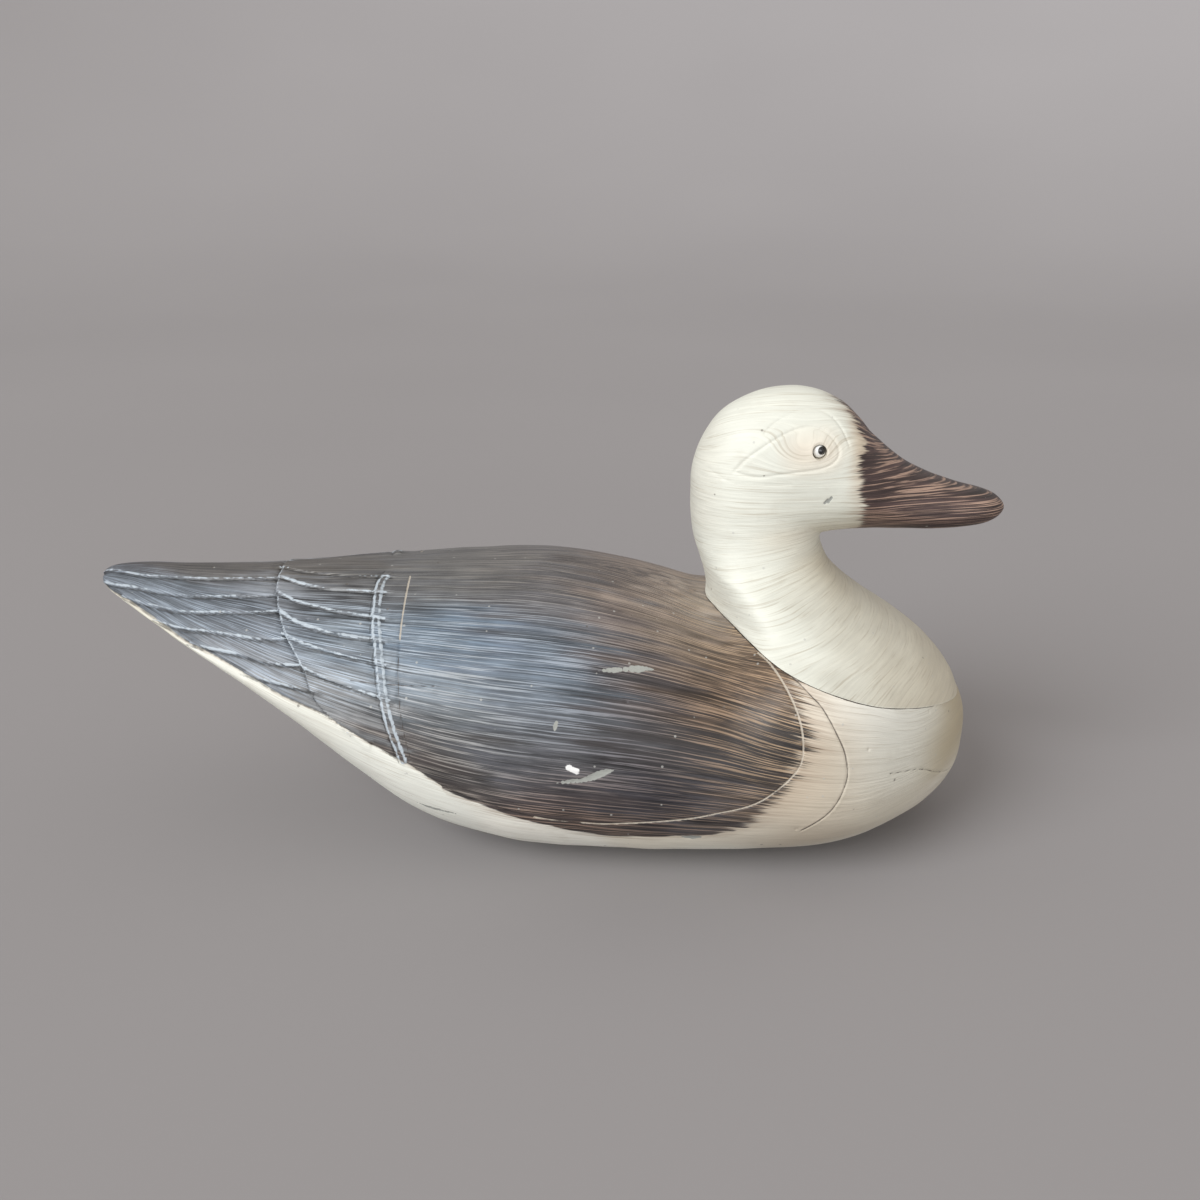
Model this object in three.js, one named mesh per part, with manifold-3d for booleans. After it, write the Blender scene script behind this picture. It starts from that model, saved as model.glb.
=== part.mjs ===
// Hollow carved waterfowl decoy, head on a separate neck block. Millimetres, +Z up.
// +X points to the bill, the base stands on Z = 0, and the origin is under the middle of the box.
import * as THREE from "three";
import { mergeVertices } from "three/addons/utils/BufferGeometryUtils.js";
import Module from "manifold-3d";

const wasm = await Module();
wasm.setup();

// ---- Driving dimensions ----
const TAIL_X = -180; // tip of the tail
const BREAST_X = 172; // foremost point of the breast
const PARTING_Z = 36; // glue line between the upper and the lower shell
const GAP = 0.3; // clearance between pieces that touch
const WALL = 16; // thickness of the hollowed shells
const SEAT_NAPE = { x: 63, z: 94.8 }; // rear end of the neck seat
const SEAT_SLOPE = -0.35; // the seat falls this much for each millimetre forward
const BODY_RINGS = 44;
const BODY_RING_POINTS = 40;
const HEAD_RING_POINTS = 28;
const RINGS_PER_SECTION = 2; // head rings for each listed section

// Each list holds [x, value] stations along the body.
const BACK_LINE = [
  [-180, 102.5], [-177, 106], [-168, 107.5], [-140, 107.2], [-108, 107], [-84, 107.7], [-45, 109],
  [-14, 110], [4, 109.2], [26, 105.7], [45, 100.5], [60, 95.4], [72, 94.3], [86, 97.8], [100, 101],
  [120, 102], [140, 88], [155, 75], [165, 62], [170, 52], [172, 42],
];
const KEEL_LINE = [
  [-180, 102.5], [-177, 99], [-168, 94.5], [-150, 84.5], [-125, 69], [-100, 50.5], [-75, 29.5], [-50, 11],
  [-25, 2], [-4, -2], [50, -4], [98, -2], [111, 0.5], [128, 5.5], [144, 10.8], [157, 17],
  [166, 23.5], [170.5, 33], [172, 42],
];
const HALF_WIDTH = [
  [-180, 0], [-177, 8], [-168, 16], [-154, 24.5], [-140, 31.5], [-120, 40.5], [-100, 49], [-80, 57.5],
  [-60, 64.5], [-40, 70], [-20, 73.5], [0, 76], [30, 77.5], [60, 78], [90, 77.5], [105, 76],
  [120, 71], [135, 61], [150, 47], [162, 31], [169, 15], [172, 0],
];
const WIDEST_HEIGHT = [
  [-180, 102.5], [-168, 98], [-154, 92], [-140, 85], [-120, 77], [-100, 69], [-75, 62], [-50, 56],
  [-20, 51], [20, 48], [60, 46], [100, 45], [150, 43], [172, 42],
];
// Powers of the superellipse that makes each half of a section: 2 is round, more is squarer.
const UPPER_FULLNESS = [
  [-180, 1.4], [-140, 1.4], [-90, 1.8], [-40, 2.1], [20, 2.1], [64, 2.1], [74, 2.3], [88, 2.9],
  [115, 3], [172, 2.2],
];
const LOWER_FULLNESS = [
  [-180, 1.7], [-110, 1.9], [-60, 2.2], [0, 2.2], [90, 2.2], [130, 2.4], [152, 2.6], [172, 2],
];

// Head block sections from the seat to the bill tip: rear x, z, front x, z, half width,
// share of the chord in front of which the section narrows, and fullness of its sides.
const HEAD_SECTIONS = [
  [63, 94.8, 167.5, 58.2, 75, 0.42, 2.3],
  [63.4, 99, 163.5, 66, 62, 0.42, 2.3],
  [62.4, 105, 156, 75, 52, 0.42, 2.2],
  [60.2, 112, 147, 82.5, 42, 0.42, 2.1],
  [58.2, 119, 135.5, 90.5, 33.5, 0.44, 2.1],
  [56.8, 127, 123, 99.5, 28, 0.46, 2.1],
  [56, 136, 113, 109, 25.5, 0.48, 2.1],
  [56.4, 146, 108.8, 116.5, 24.5, 0.48, 2.1],
  [59.5, 157, 108, 121.5, 24, 0.5, 2.15],
  [66, 168, 111, 122.6, 23.8, 0.52, 2.2],
  [76, 175, 114.5, 123, 23.6, 0.55, 2.2],
  [89, 178.9, 118, 123.3, 23.3, 0.57, 2.2],
  [102.5, 178.4, 121.5, 123.6, 22.6, 0.6, 2.2],
  [113.5, 173.8, 125.5, 123.8, 21.3, 0.63, 2.15],
  [121, 167.2, 130, 123.9, 19.4, 0.66, 2.1],
  [127, 160.4, 135, 123.7, 17.4, 0.68, 2],
  [137.5, 151.8, 142, 123.5, 15.2, 0.68, 2],
  [150, 145.4, 152, 123.4, 13.6, 0.66, 2],
  [162, 141.2, 162.5, 124.1, 12.5, 0.62, 2.1],
  [170.5, 138.9, 170.5, 125.2, 11, 0.58, 2.2],
  [176, 136.6, 176, 127.2, 8, 0.55, 2.2],
  [179.2, 134, 179.2, 129.8, 4.2, 0.5, 2.1],
  [180, 132, 180, 132, 0, 0.5, 2],
];

// ---- Smooth values along a list of stations ----
function smoothThrough(positions, values) {
  const slope = (i) => {
    const a = Math.max(i - 1, 0);
    const b = Math.min(i + 1, positions.length - 1);
    return (values[b] - values[a]) / (positions[b] - positions[a]);
  };
  return (p) => {
    let i = positions.findIndex((q) => q > p) - 1;
    if (i < -1) i = positions.length - 2;
    i = THREE.MathUtils.clamp(i, 0, positions.length - 2);
    const width = positions[i + 1] - positions[i];
    const t = THREE.MathUtils.clamp((p - positions[i]) / width, 0, 1);
    const h = t * t * (3 - 2 * t);
    return (
      values[i] * (1 - h) +
      values[i + 1] * h +
      width * (slope(i) * t * (1 - t) ** 2 - slope(i + 1) * t * t * (1 - t))
    );
  };
}

// Stations are spread by the angle of a half circle, which rounds both ends of the body.
const bodyAngle = (x) =>
  Math.acos(THREE.MathUtils.clamp(1 - (2 * (x - TAIL_X)) / (BREAST_X - TAIL_X), -1, 1));
function alongBody(stations) {
  const value = smoothThrough(stations.map(([x]) => bodyAngle(x)), stations.map(([, v]) => v));
  return (x) => value(bodyAngle(x));
}
const backLine = alongBody(BACK_LINE);
const keelLine = alongBody(KEEL_LINE);
const halfWidth = alongBody(HALF_WIDTH);
const widestHeight = alongBody(WIDEST_HEIGHT);
const upperFullness = alongBody(UPPER_FULLNESS);
const lowerFullness = alongBody(LOWER_FULLNESS);
const seatHeight = (x) => SEAT_NAPE.z + SEAT_SLOPE * (x - SEAT_NAPE.x);

// Half width of the body at a height, from the two superellipses that make its section.
function bodyHalfWidthAt(x, z) {
  const middle = widestHeight(x);
  const above = z > middle;
  const reach = above ? backLine(x) - middle : middle - keelLine(x);
  const power = above ? upperFullness(x) : lowerFullness(x);
  const share = Math.abs(z - middle) / Math.max(reach, 1e-6);
  return share >= 1 ? 0 : halfWidth(x) * (1 - share ** power) ** (1 / power);
}

// ---- Lofts: rings of points joined by triangles, closed by a point at each end ----
function loft(rings, startPoint, endPoint) {
  const count = rings[0].length;
  const positions = [startPoint, ...rings.flat(), endPoint].flat();
  const indices = [];
  const last = 1 + rings.length * count;
  for (let j = 0; j < count; j++) {
    const k = (j + 1) % count;
    indices.push(0, 1 + k, 1 + j);
    indices.push(last, last - count + j, last - count + k);
    for (let i = 0; i < rings.length - 1; i++) {
      const a = 1 + i * count;
      const b = a + count;
      indices.push(a + j, a + k, b + k, a + j, b + k, b + j);
    }
  }
  const geometry = new THREE.BufferGeometry();
  geometry.setAttribute("position", new THREE.Float32BufferAttribute(positions, 3));
  geometry.setIndex(indices);
  return geometry;
}

function bodyRing(x, points, inset) {
  const middle = widestHeight(x);
  const width = Math.max(halfWidth(x) - inset, 1);
  const rise = Math.max(backLine(x) - middle - inset, 1);
  const drop = Math.max(middle - keelLine(x) - inset, 1);
  return Array.from({ length: points }, (_, j) => {
    const angle = (2 * Math.PI * j) / points;
    const c = Math.cos(angle);
    const s = Math.sin(angle);
    const power = 2 / (s >= 0 ? upperFullness(x) : lowerFullness(x));
    return [
      x,
      width * Math.sign(c) * Math.abs(c) ** power,
      middle + (s >= 0 ? rise : drop) * Math.sign(s) * Math.abs(s) ** power,
    ];
  });
}

function bodyGeometry() {
  const rings = [];
  for (let i = 1; i < BODY_RINGS; i++) {
    const x = TAIL_X + ((BREAST_X - TAIL_X) * (1 - Math.cos((Math.PI * i) / BODY_RINGS))) / 2;
    rings.push(bodyRing(x, BODY_RING_POINTS, 0));
  }
  return loft(rings, [TAIL_X, 0, backLine(TAIL_X)], [BREAST_X, 0, backLine(BREAST_X)]);
}

function headGeometry() {
  const index = HEAD_SECTIONS.map((_, i) => i);
  const [rearX, rearZ, frontX, frontZ, width, widest, fullness] = HEAD_SECTIONS[0].map((_, c) =>
    smoothThrough(index, HEAD_SECTIONS.map((row) => row[c])),
  );
  const lastRing = (HEAD_SECTIONS.length - 1) * RINGS_PER_SECTION;
  const rings = [];
  for (let i = 0; i < lastRing; i++) {
    const s = i / RINGS_PER_SECTION;
    const ring = [];
    for (let j = 0; j < HEAD_RING_POINTS; j++) {
      const angle = (-2 * Math.PI * j) / HEAD_RING_POINTS;
      const c = -Math.cos(angle); // -1 at the rear, 1 at the front
      const share = widest(s) + c * (c < 0 ? widest(s) : 1 - widest(s));
      const x = THREE.MathUtils.lerp(rearX(s), frontX(s), share);
      const z = THREE.MathUtils.lerp(rearZ(s), frontZ(s), share);
      const power = 2 / fullness(s);
      const side = Math.sign(Math.sin(angle));
      let y = side * width(s) * Math.abs(Math.sin(angle)) ** power;
      // The lowest sections take the outline of the body, so the seat joint is flush.
      const blend = Math.max(1 - s / 3, 0);
      if (blend > 0) {
        const seatX = THREE.MathUtils.lerp(rearX(0), frontX(0), share);
        const seatY = (side * bodyHalfWidthAt(seatX, seatHeight(seatX)) * width(s)) / width(0);
        y = THREE.MathUtils.lerp(y, seatY, blend);
      }
      ring.push([x, y, z]);
    }
    rings.push(ring);
  }
  const first = [(rearX(0) + frontX(0)) / 2, 0, (rearZ(0) + frontZ(0)) / 2];
  return loft(rings, first, [rearX(lastRing), 0, rearZ(lastRing)]);
}

// ---- Solids ----
function solid(geometry, matrix = new THREE.Matrix4()) {
  const bare = geometry.clone().applyMatrix4(matrix);
  bare.deleteAttribute("normal");
  bare.deleteAttribute("uv");
  const merged = mergeVertices(bare, 1e-4);
  return new wasm.Manifold(
    new wasm.Mesh({
      numProp: 3,
      vertProperties: merged.attributes.position.array,
      triVerts: new Uint32Array(merged.index.array),
    }),
  );
}
const asSolid = (geometry, x = 0, y = 0, z = 0) =>
  solid(geometry, new THREE.Matrix4().makeTranslation(x, y, z));

// A round bar standing along Z, from one height to another.
function bar(radius, low, high, x, y, sides = 20) {
  const geometry = new THREE.CylinderGeometry(radius, radius, high - low, sides);
  geometry.rotateX(Math.PI / 2);
  return asSolid(geometry, x, y, (low + high) / 2);
}
// A round bar lying along Y.
function crossBar(radius, from, to, x, z, sides = 16) {
  const geometry = new THREE.CylinderGeometry(radius, radius, Math.abs(to - from), sides);
  return asSolid(geometry, x, (from + to) / 2, z);
}
// A turned shape about Z, from a profile of [radius, height] points that starts and ends on the axis.
function turned(profile, sides = 20) {
  const geometry = new THREE.LatheGeometry(profile.map(([r, h]) => new THREE.Vector2(r, h)), sides);
  geometry.rotateX(Math.PI / 2);
  return geometry;
}
const slab = (low, high) => asSolid(new THREE.BoxGeometry(500, 300, high - low), 0, 0, (low + high) / 2);

// The half of space above the neck seat, moved up by a distance along the seat's normal.
function aboveSeat(offset) {
  const depth = 300;
  const tilt = new THREE.Matrix4().makeRotationY(-Math.atan(SEAT_SLOPE));
  const lift = new THREE.Matrix4().makeTranslation(0, 0, depth / 2 + offset);
  const place = new THREE.Matrix4().makeTranslation(SEAT_NAPE.x, 0, SEAT_NAPE.z);
  return solid(new THREE.BoxGeometry(600, 300, depth), place.multiply(tilt).multiply(lift));
}

// ---- Body shells ----
const CAVITY = { rear: -72, front: 104, floor: 22, underSeat: 22 }; // floor height, wood left under the seat
function cavitySolid() {
  const steps = 16;
  const rings = [];
  for (let i = 1; i < steps; i++) {
    const x = CAVITY.rear + ((CAVITY.front - CAVITY.rear) * (1 - Math.cos((Math.PI * i) / steps))) / 2;
    const round = Math.sin((Math.PI * i) / steps) ** 0.5;
    const middle = widestHeight(x);
    rings.push(bodyRing(x, 20, WALL).map(([px, y, z]) => [px, y * round, middle + (z - middle) * round]));
  }
  const end = (x) => [x, 0, widestHeight(x)];
  return solid(loft(rings, end(CAVITY.rear), end(CAVITY.front)))
    .intersect(slab(CAVITY.floor, 150))
    .subtract(aboveSeat(-CAVITY.underSeat));
}
const body = solid(bodyGeometry()).subtract(aboveSeat(-GAP / 2)).subtract(cavitySolid());

// Body dowels: four pins across the glue line.
const DOWEL = { radius: 3, low: 27, high: 45 };
const DOWEL_PLACES = [[-30, 56.5], [-30, -56.5], [128, 24], [128, -24]];
const dowelHoles = DOWEL_PLACES.map(([x, y]) =>
  bar(DOWEL.radius + GAP, DOWEL.low - GAP, DOWEL.high + GAP, x, y, 16),
);

// Neck fastening: a lag screw from inside the hollow, its washer on a flat spot face,
// and a dowel that stops the neck turning.
const LAG = { x: 95, radius: 3, top: 128, hole: 3.5 };
const LAG_HEAD = { radius: 5.5, high: 5 };
const WASHER = { face: 66, radius: 10, thick: 1.5, room: 2 };
const NECK_DOWEL = { x: 122, radius: 5, low: 62, high: 92 };
const lagHole = bar(LAG.hole, WASHER.face - 10, LAG.top + 1, LAG.x, 0);
const neckDowelHole = bar(
  NECK_DOWEL.radius + GAP, NECK_DOWEL.low - GAP, NECK_DOWEL.high + GAP, NECK_DOWEL.x, 0,
);
const spotFace = bar(WASHER.radius + WASHER.room, WASHER.face - 14, WASHER.face, LAG.x, 0, 24);

// Ballast: a lead bar let into the base on the centre line, held by two countersunk screws.
const BALLAST = { front: 102, rear: 16, half: 13, low: 0.3, high: 8.3 };
const BALLAST_SCREWS = [["ballast_screw_rear", 30], ["ballast_screw_front", 88]];
const SCREW = { shank: 2, head: 4, rim: 0.4, low: 0.8, headHigh: 3, top: 18, point: 3 };
const ballastBox = (grow) =>
  asSolid(
    new THREE.BoxGeometry(
      BALLAST.front - BALLAST.rear + 2 * grow,
      2 * (BALLAST.half + grow),
      BALLAST.high - BALLAST.low + 2 * grow,
    ),
    (BALLAST.front + BALLAST.rear) / 2,
    0,
    (BALLAST.high + BALLAST.low) / 2,
  );
function ballastScrew(grow) {
  const low = SCREW.low - grow * 3; // the countersink opens through the face of the lead
  return turned([
    [0, low],
    [SCREW.head + grow, low],
    [SCREW.head + grow, SCREW.low + SCREW.rim],
    [SCREW.shank + grow, SCREW.low + SCREW.headHigh + grow],
    [SCREW.shank + grow, SCREW.top - SCREW.point],
    [0, SCREW.top + 2 * grow],
  ], 16);
}

// Line tie: a screw eye under the forefoot of the breast, with a free ring.
const TIE = { x: 143, wire: 0.9, slack: 0.1 };
const TIE_EYE = { z: 6, radius: 3.2, shank: 1.5, top: 26 };
const TIE_RING = { radius: 7 };
const TIE_PIVOT_Z = TIE_EYE.z - TIE_EYE.radius + 2 * TIE.wire + TIE.slack;
const tieCup = TIE_EYE.radius + TIE.wire + 0.5; // a recess round the eye
const tieHole = bar(TIE_EYE.shank + GAP, 0, TIE_EYE.top + GAP, TIE.x, 0, 14).add(
  bar(tieCup, 0, TIE_EYE.z + tieCup, TIE.x, 0, 20),
);

const upperCut = slab(PARTING_Z + GAP / 2, 200);
const lowerCut = slab(0, PARTING_Z - GAP / 2);
let upper = body.intersect(upperCut).subtract(lagHole).subtract(neckDowelHole).subtract(spotFace);
let lower = body.intersect(lowerCut).subtract(ballastBox(GAP)).subtract(tieHole);
dowelHoles.forEach((hole) => {
  upper = upper.subtract(hole);
  lower = lower.subtract(hole);
});
BALLAST_SCREWS.forEach(([, x]) => {
  lower = lower.subtract(asSolid(ballastScrew(GAP), x, 0, 0));
});

// ---- Head and neck block, with its eyes ----
const EYE = { x: 102.5, z: 158.3, out: 21.2, radius: 2.5, depth: 2.8, sunk: 1.2, rear: 1.6 };
const EYE_WIRE = { radius: 0.5, long: 10 };
// Section of the glass lens as [radius, height]: a flat rear, a rounded edge and a low dome.
const EYE_PROFILE = [
  [0, -EYE.rear], [1.9, -EYE.rear], [EYE.radius, -0.8], [2.4, 0.2], [1.9, 0.9], [1, 1.4], [0, 1.6],
];
const block = solid(headGeometry()).intersect(aboveSeat(GAP / 2));
let head = block.subtract(lagHole).subtract(neckDowelHole);
const SIDES = [["right", -1], ["left", 1]];
SIDES.forEach(([, side]) => {
  const back = EYE.out - EYE.depth - GAP;
  const deep = back - EYE_WIRE.long - GAP;
  head = head
    .subtract(crossBar(EYE.radius + GAP, side * back, side * (EYE.out + 6), EYE.x, EYE.z))
    .subtract(crossBar(EYE_WIRE.radius + GAP, side * deep, side * (back + 1), EYE.x, EYE.z, 10));
});

// ---- Finishes ----
const finish = (color, roughness, metalness = 0) =>
  new THREE.MeshStandardMaterial({ color, roughness, metalness });
const backPaint = finish(0x5b5f66, 0.5);
const bellyPaint = finish(0xd6d4c6, 0.5);
const headPaint = finish(0xe6e4d8, 0.45);
const rawWood = finish(0xb58a5a, 0.8);
const steel = finish(0x9a9a98, 0.35, 1);
const lead = finish(0x5d6066, 0.55, 1);
const brass = finish(0xb08d47, 0.35, 1);
const glass = finish(0x120f0c, 0.05);

// ---- The assembly ----
function named(name, shape, material) {
  const mesh = shape.getMesh();
  const geometry = new THREE.BufferGeometry();
  geometry.setAttribute("position", new THREE.BufferAttribute(mesh.vertProperties, 3));
  geometry.setIndex(new THREE.BufferAttribute(mesh.triVerts, 1));
  geometry.computeVertexNormals();
  const made = new THREE.Mesh(geometry, material);
  made.name = name;
  return made;
}
const group = new THREE.Group();
const put = (name, shape, material) => group.add(named(name, shape, material));
put("body_upper", upper, backPaint);
put("body_lower", lower, bellyPaint);
put("head_neck", head, headPaint);

SIDES.forEach(([word, side]) => {
  const centre = side * (EYE.out - EYE.sunk);
  const lens = turned(EYE_PROFILE).rotateX((-side * Math.PI) / 2);
  put("eye_" + word, asSolid(lens, EYE.x, centre, EYE.z), glass);
  const back = Math.abs(centre) - EYE.rear - GAP;
  const wire = crossBar(EYE_WIRE.radius, side * (back - EYE_WIRE.long), side * back, EYE.x, EYE.z, 8);
  put("eye_wire_" + word, wire, steel);
});
DOWEL_PLACES.forEach(([x, y], i) => {
  put("body_dowel_" + (i + 1), bar(DOWEL.radius, DOWEL.low, DOWEL.high, x, y, 14), rawWood);
});
put("neck_dowel", bar(NECK_DOWEL.radius, NECK_DOWEL.low, NECK_DOWEL.high, NECK_DOWEL.x, 0), rawWood);

const washerTop = WASHER.face - GAP;
const headTop = washerTop - WASHER.thick - GAP;
const washer = bar(WASHER.radius, washerTop - WASHER.thick, washerTop, LAG.x, 0, 24);
put("neck_washer", washer.subtract(bar(LAG.hole, 40, 80, LAG.x, 0)), steel);
const lagShank = turned([
  [0, headTop - 1], [LAG.radius, headTop - 1], [LAG.radius, LAG.top - 8], [0, LAG.top],
]);
const lagHead = bar(LAG_HEAD.radius, headTop - LAG_HEAD.high, headTop, LAG.x, 0, 6);
put("neck_lag_screw", asSolid(lagShank, LAG.x, 0, 0).add(lagHead), steel);

let ballast = ballastBox(0);
BALLAST_SCREWS.forEach(([name, x]) => {
  ballast = ballast.subtract(asSolid(ballastScrew(GAP), x, 0, 0));
  put(name, asSolid(ballastScrew(0), x, 0, 0), steel);
});
put("ballast_weight", ballast, lead);

const eyeLoop = new THREE.TorusGeometry(TIE_EYE.radius, TIE.wire, 8, 20).rotateX(Math.PI / 2);
const eyeShank = bar(TIE_EYE.shank, TIE_EYE.z + TIE_EYE.radius - 0.2, TIE_EYE.top, TIE.x, 0, 12);
put("line_tie_eye", asSolid(eyeLoop, TIE.x, 0, TIE_EYE.z).add(eyeShank), brass);
// The ring lies forward from the eye, its far side on the surface that the decoy stands on.
const ringTilt = Math.asin((TIE_PIVOT_Z - TIE.wire - TIE.slack) / (2 * TIE_RING.radius));
const tieRing = new THREE.TorusGeometry(TIE_RING.radius, TIE.wire, 8, 24)
  .translate(TIE_RING.radius, 0, 0)
  .rotateY(ringTilt)
  .translate(TIE.x, 0, TIE_PIVOT_Z);
put("line_tie_ring", solid(tieRing), brass);

export default group;
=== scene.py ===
"""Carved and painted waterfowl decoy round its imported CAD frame.

Lengths are millimetres in the tables and metres in Blender. A place on the body is (x, angle): x along
the body, and the angle round its section in degrees, 0 at the widest line, 90 on the back's ridge and
-90 on the keel. Both sides of the bird are alike, so an angle stands for its mirror image too.
"""
import math

import bmesh
import bpy
import numpy as np
from mathutils import Matrix, Vector


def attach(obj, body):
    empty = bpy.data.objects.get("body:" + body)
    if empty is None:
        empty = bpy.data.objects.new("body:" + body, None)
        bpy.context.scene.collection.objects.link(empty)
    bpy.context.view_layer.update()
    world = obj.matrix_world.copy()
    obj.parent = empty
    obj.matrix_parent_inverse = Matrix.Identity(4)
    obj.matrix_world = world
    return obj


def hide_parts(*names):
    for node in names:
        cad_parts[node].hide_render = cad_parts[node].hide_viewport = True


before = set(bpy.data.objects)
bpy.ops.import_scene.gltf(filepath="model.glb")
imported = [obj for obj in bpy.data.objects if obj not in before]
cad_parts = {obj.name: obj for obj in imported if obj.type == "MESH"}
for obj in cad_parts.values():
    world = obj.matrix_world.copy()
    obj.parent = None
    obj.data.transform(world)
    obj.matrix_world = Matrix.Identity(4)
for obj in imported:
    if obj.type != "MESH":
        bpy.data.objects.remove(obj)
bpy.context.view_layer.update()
MM = 0.001

# ---- The form, as in the CAD source ----
TAIL_X, BREAST_X = -180.0, 172.0
PARTING_Z = 36.0
GAP = 0.3
SEAT_NAPE_X, SEAT_NAPE_Z, SEAT_SLOPE = 63.0, 94.8, -0.35
BACK_LINE = [
    (-180, 102.5), (-177, 106), (-168, 107.5), (-140, 107.2), (-108, 107), (-84, 107.7), (-45, 109),
    (-14, 110), (4, 109.2), (26, 105.7), (45, 100.5), (60, 95.4), (72, 94.3), (86, 97.8), (100, 101),
    (120, 102), (140, 88), (155, 75), (165, 62), (170, 52), (172, 42),
]
KEEL_LINE = [
    (-180, 102.5), (-177, 99), (-168, 94.5), (-150, 84.5), (-125, 69), (-100, 50.5), (-75, 29.5), (-50, 11),
    (-25, 2), (-4, -2), (50, -4), (98, -2), (111, 0.5), (128, 5.5), (144, 10.8), (157, 17), (166, 23.5),
    (170.5, 33), (172, 42),
]
HALF_WIDTH = [
    (-180, 0), (-177, 8), (-168, 16), (-154, 24.5), (-140, 31.5), (-120, 40.5), (-100, 49), (-80, 57.5),
    (-60, 64.5), (-40, 70), (-20, 73.5), (0, 76), (30, 77.5), (60, 78), (90, 77.5), (105, 76), (120, 71),
    (135, 61), (150, 47), (162, 31), (169, 15), (172, 0),
]
WIDEST_HEIGHT = [
    (-180, 102.5), (-168, 98), (-154, 92), (-140, 85), (-120, 77), (-100, 69), (-75, 62), (-50, 56),
    (-20, 51), (20, 48), (60, 46), (100, 45), (150, 43), (172, 42),
]
UPPER_FULLNESS = [
    (-180, 1.4), (-140, 1.4), (-90, 1.8), (-40, 2.1), (20, 2.1), (64, 2.1), (74, 2.3), (88, 2.9), (115, 3),
    (172, 2.2),
]
LOWER_FULLNESS = [(-180, 1.7), (-110, 1.9), (-60, 2.2), (0, 2.2), (90, 2.2), (130, 2.4), (152, 2.6), (172, 2)]
# Head block sections: rear x and z, front x and z, half width, share of the chord that lies behind the
# widest place, fullness.
HEAD_SECTIONS = [
    (63, 94.8, 167.5, 58.2, 75, 0.42, 2.3), (63.4, 99, 163.5, 66, 62, 0.42, 2.3),
    (62.4, 105, 156, 75, 52, 0.42, 2.2), (60.2, 112, 147, 82.5, 42, 0.42, 2.1),
    (58.2, 119, 135.5, 90.5, 33.5, 0.44, 2.1), (56.8, 127, 123, 99.5, 28, 0.46, 2.1),
    (56, 136, 113, 109, 25.5, 0.48, 2.1), (56.4, 146, 108.8, 116.5, 24.5, 0.48, 2.1),
    (59.5, 157, 108, 121.5, 24, 0.5, 2.15), (66, 168, 111, 122.6, 23.8, 0.52, 2.2),
    (76, 175, 114.5, 123, 23.6, 0.55, 2.2), (89, 178.9, 118, 123.3, 23.3, 0.57, 2.2),
    (102.5, 178.4, 121.5, 123.6, 22.6, 0.6, 2.2), (113.5, 173.8, 125.5, 123.8, 21.3, 0.63, 2.15),
    (121, 167.2, 130, 123.9, 19.4, 0.66, 2.1), (127, 160.4, 135, 123.7, 17.4, 0.68, 2),
    (137.5, 151.8, 142, 123.5, 15.2, 0.68, 2), (150, 145.4, 152, 123.4, 13.6, 0.66, 2),
    (162, 141.2, 162.5, 124.1, 12.5, 0.62, 2.1), (170.5, 138.9, 170.5, 125.2, 11, 0.58, 2.2),
    (176, 136.6, 176, 127.2, 8, 0.55, 2.2), (179.2, 134, 179.2, 129.8, 4.2, 0.5, 2.1),
    (180, 132, 180, 132, 0, 0.5, 2),
]


def smooth_through(positions, values):
    """A smooth curve through the given values at their positions, as a function of position."""
    p = np.asarray(positions, float)
    v = np.asarray(values, float)
    before = np.maximum(np.arange(len(p)) - 1, 0)
    after = np.minimum(np.arange(len(p)) + 1, len(p) - 1)
    slope = (v[after] - v[before]) / (p[after] - p[before])

    def value(q):
        q = np.asarray(q, float)
        i = np.clip(np.searchsorted(p, q, side="right") - 1, 0, len(p) - 2)
        width = p[i + 1] - p[i]
        t = np.clip((q - p[i]) / width, 0, 1)
        h = t * t * (3 - 2 * t)
        bend = slope[i] * t * (1 - t) ** 2 - slope[i + 1] * t * t * (1 - t)
        return v[i] * (1 - h) + v[i + 1] * h + width * bend

    return value


def body_angle(x):
    """Stations are spread by the angle of a half circle, which rounds both ends of the body."""
    return np.arccos(np.clip(1 - 2 * (np.asarray(x, float) - TAIL_X) / (BREAST_X - TAIL_X), -1, 1))


def along_body(stations):
    curve = smooth_through([body_angle(x) for x, _ in stations], [v for _, v in stations])
    return lambda x: curve(body_angle(x))


back_line = along_body(BACK_LINE)
keel_line = along_body(KEEL_LINE)
half_width = along_body(HALF_WIDTH)
widest_height = along_body(WIDEST_HEIGHT)
upper_fullness = along_body(UPPER_FULLNESS)
lower_fullness = along_body(LOWER_FULLNESS)


def seat_height(x):
    return SEAT_NAPE_Z + SEAT_SLOPE * (x - SEAT_NAPE_X)


def from_seat(points):
    """How far points lie above the neck seat."""
    return (points[:, 2] - seat_height(points[:, 0])) / math.hypot(1, SEAT_SLOPE)


def body_point(x, angle):
    """The point of the body's form at (x, angle in degrees, measured from the +Y side), in mm."""
    x, angle = np.broadcast_arrays(np.asarray(x, float), np.radians(angle))
    c, s = np.cos(angle), np.sin(angle)
    power = 2 / np.where(s >= 0, upper_fullness(x), lower_fullness(x))
    middle = widest_height(x)
    reach = np.where(s >= 0, back_line(x) - middle, middle - keel_line(x))
    y = half_width(x) * np.sign(c) * np.abs(c) ** power
    z = middle + reach * np.sign(s) * np.abs(s) ** power
    return np.stack([x, y, z], -1)


def body_half_width_at(x, z):
    middle = widest_height(x)
    above = z > middle
    reach = np.where(above, back_line(x) - middle, middle - keel_line(x))
    power = np.where(above, upper_fullness(x), lower_fullness(x))
    share = np.clip(np.abs(z - middle) / np.maximum(reach, 1e-6), 0, 1)
    return half_width(x) * (1 - share ** power) ** (1 / power)


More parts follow.
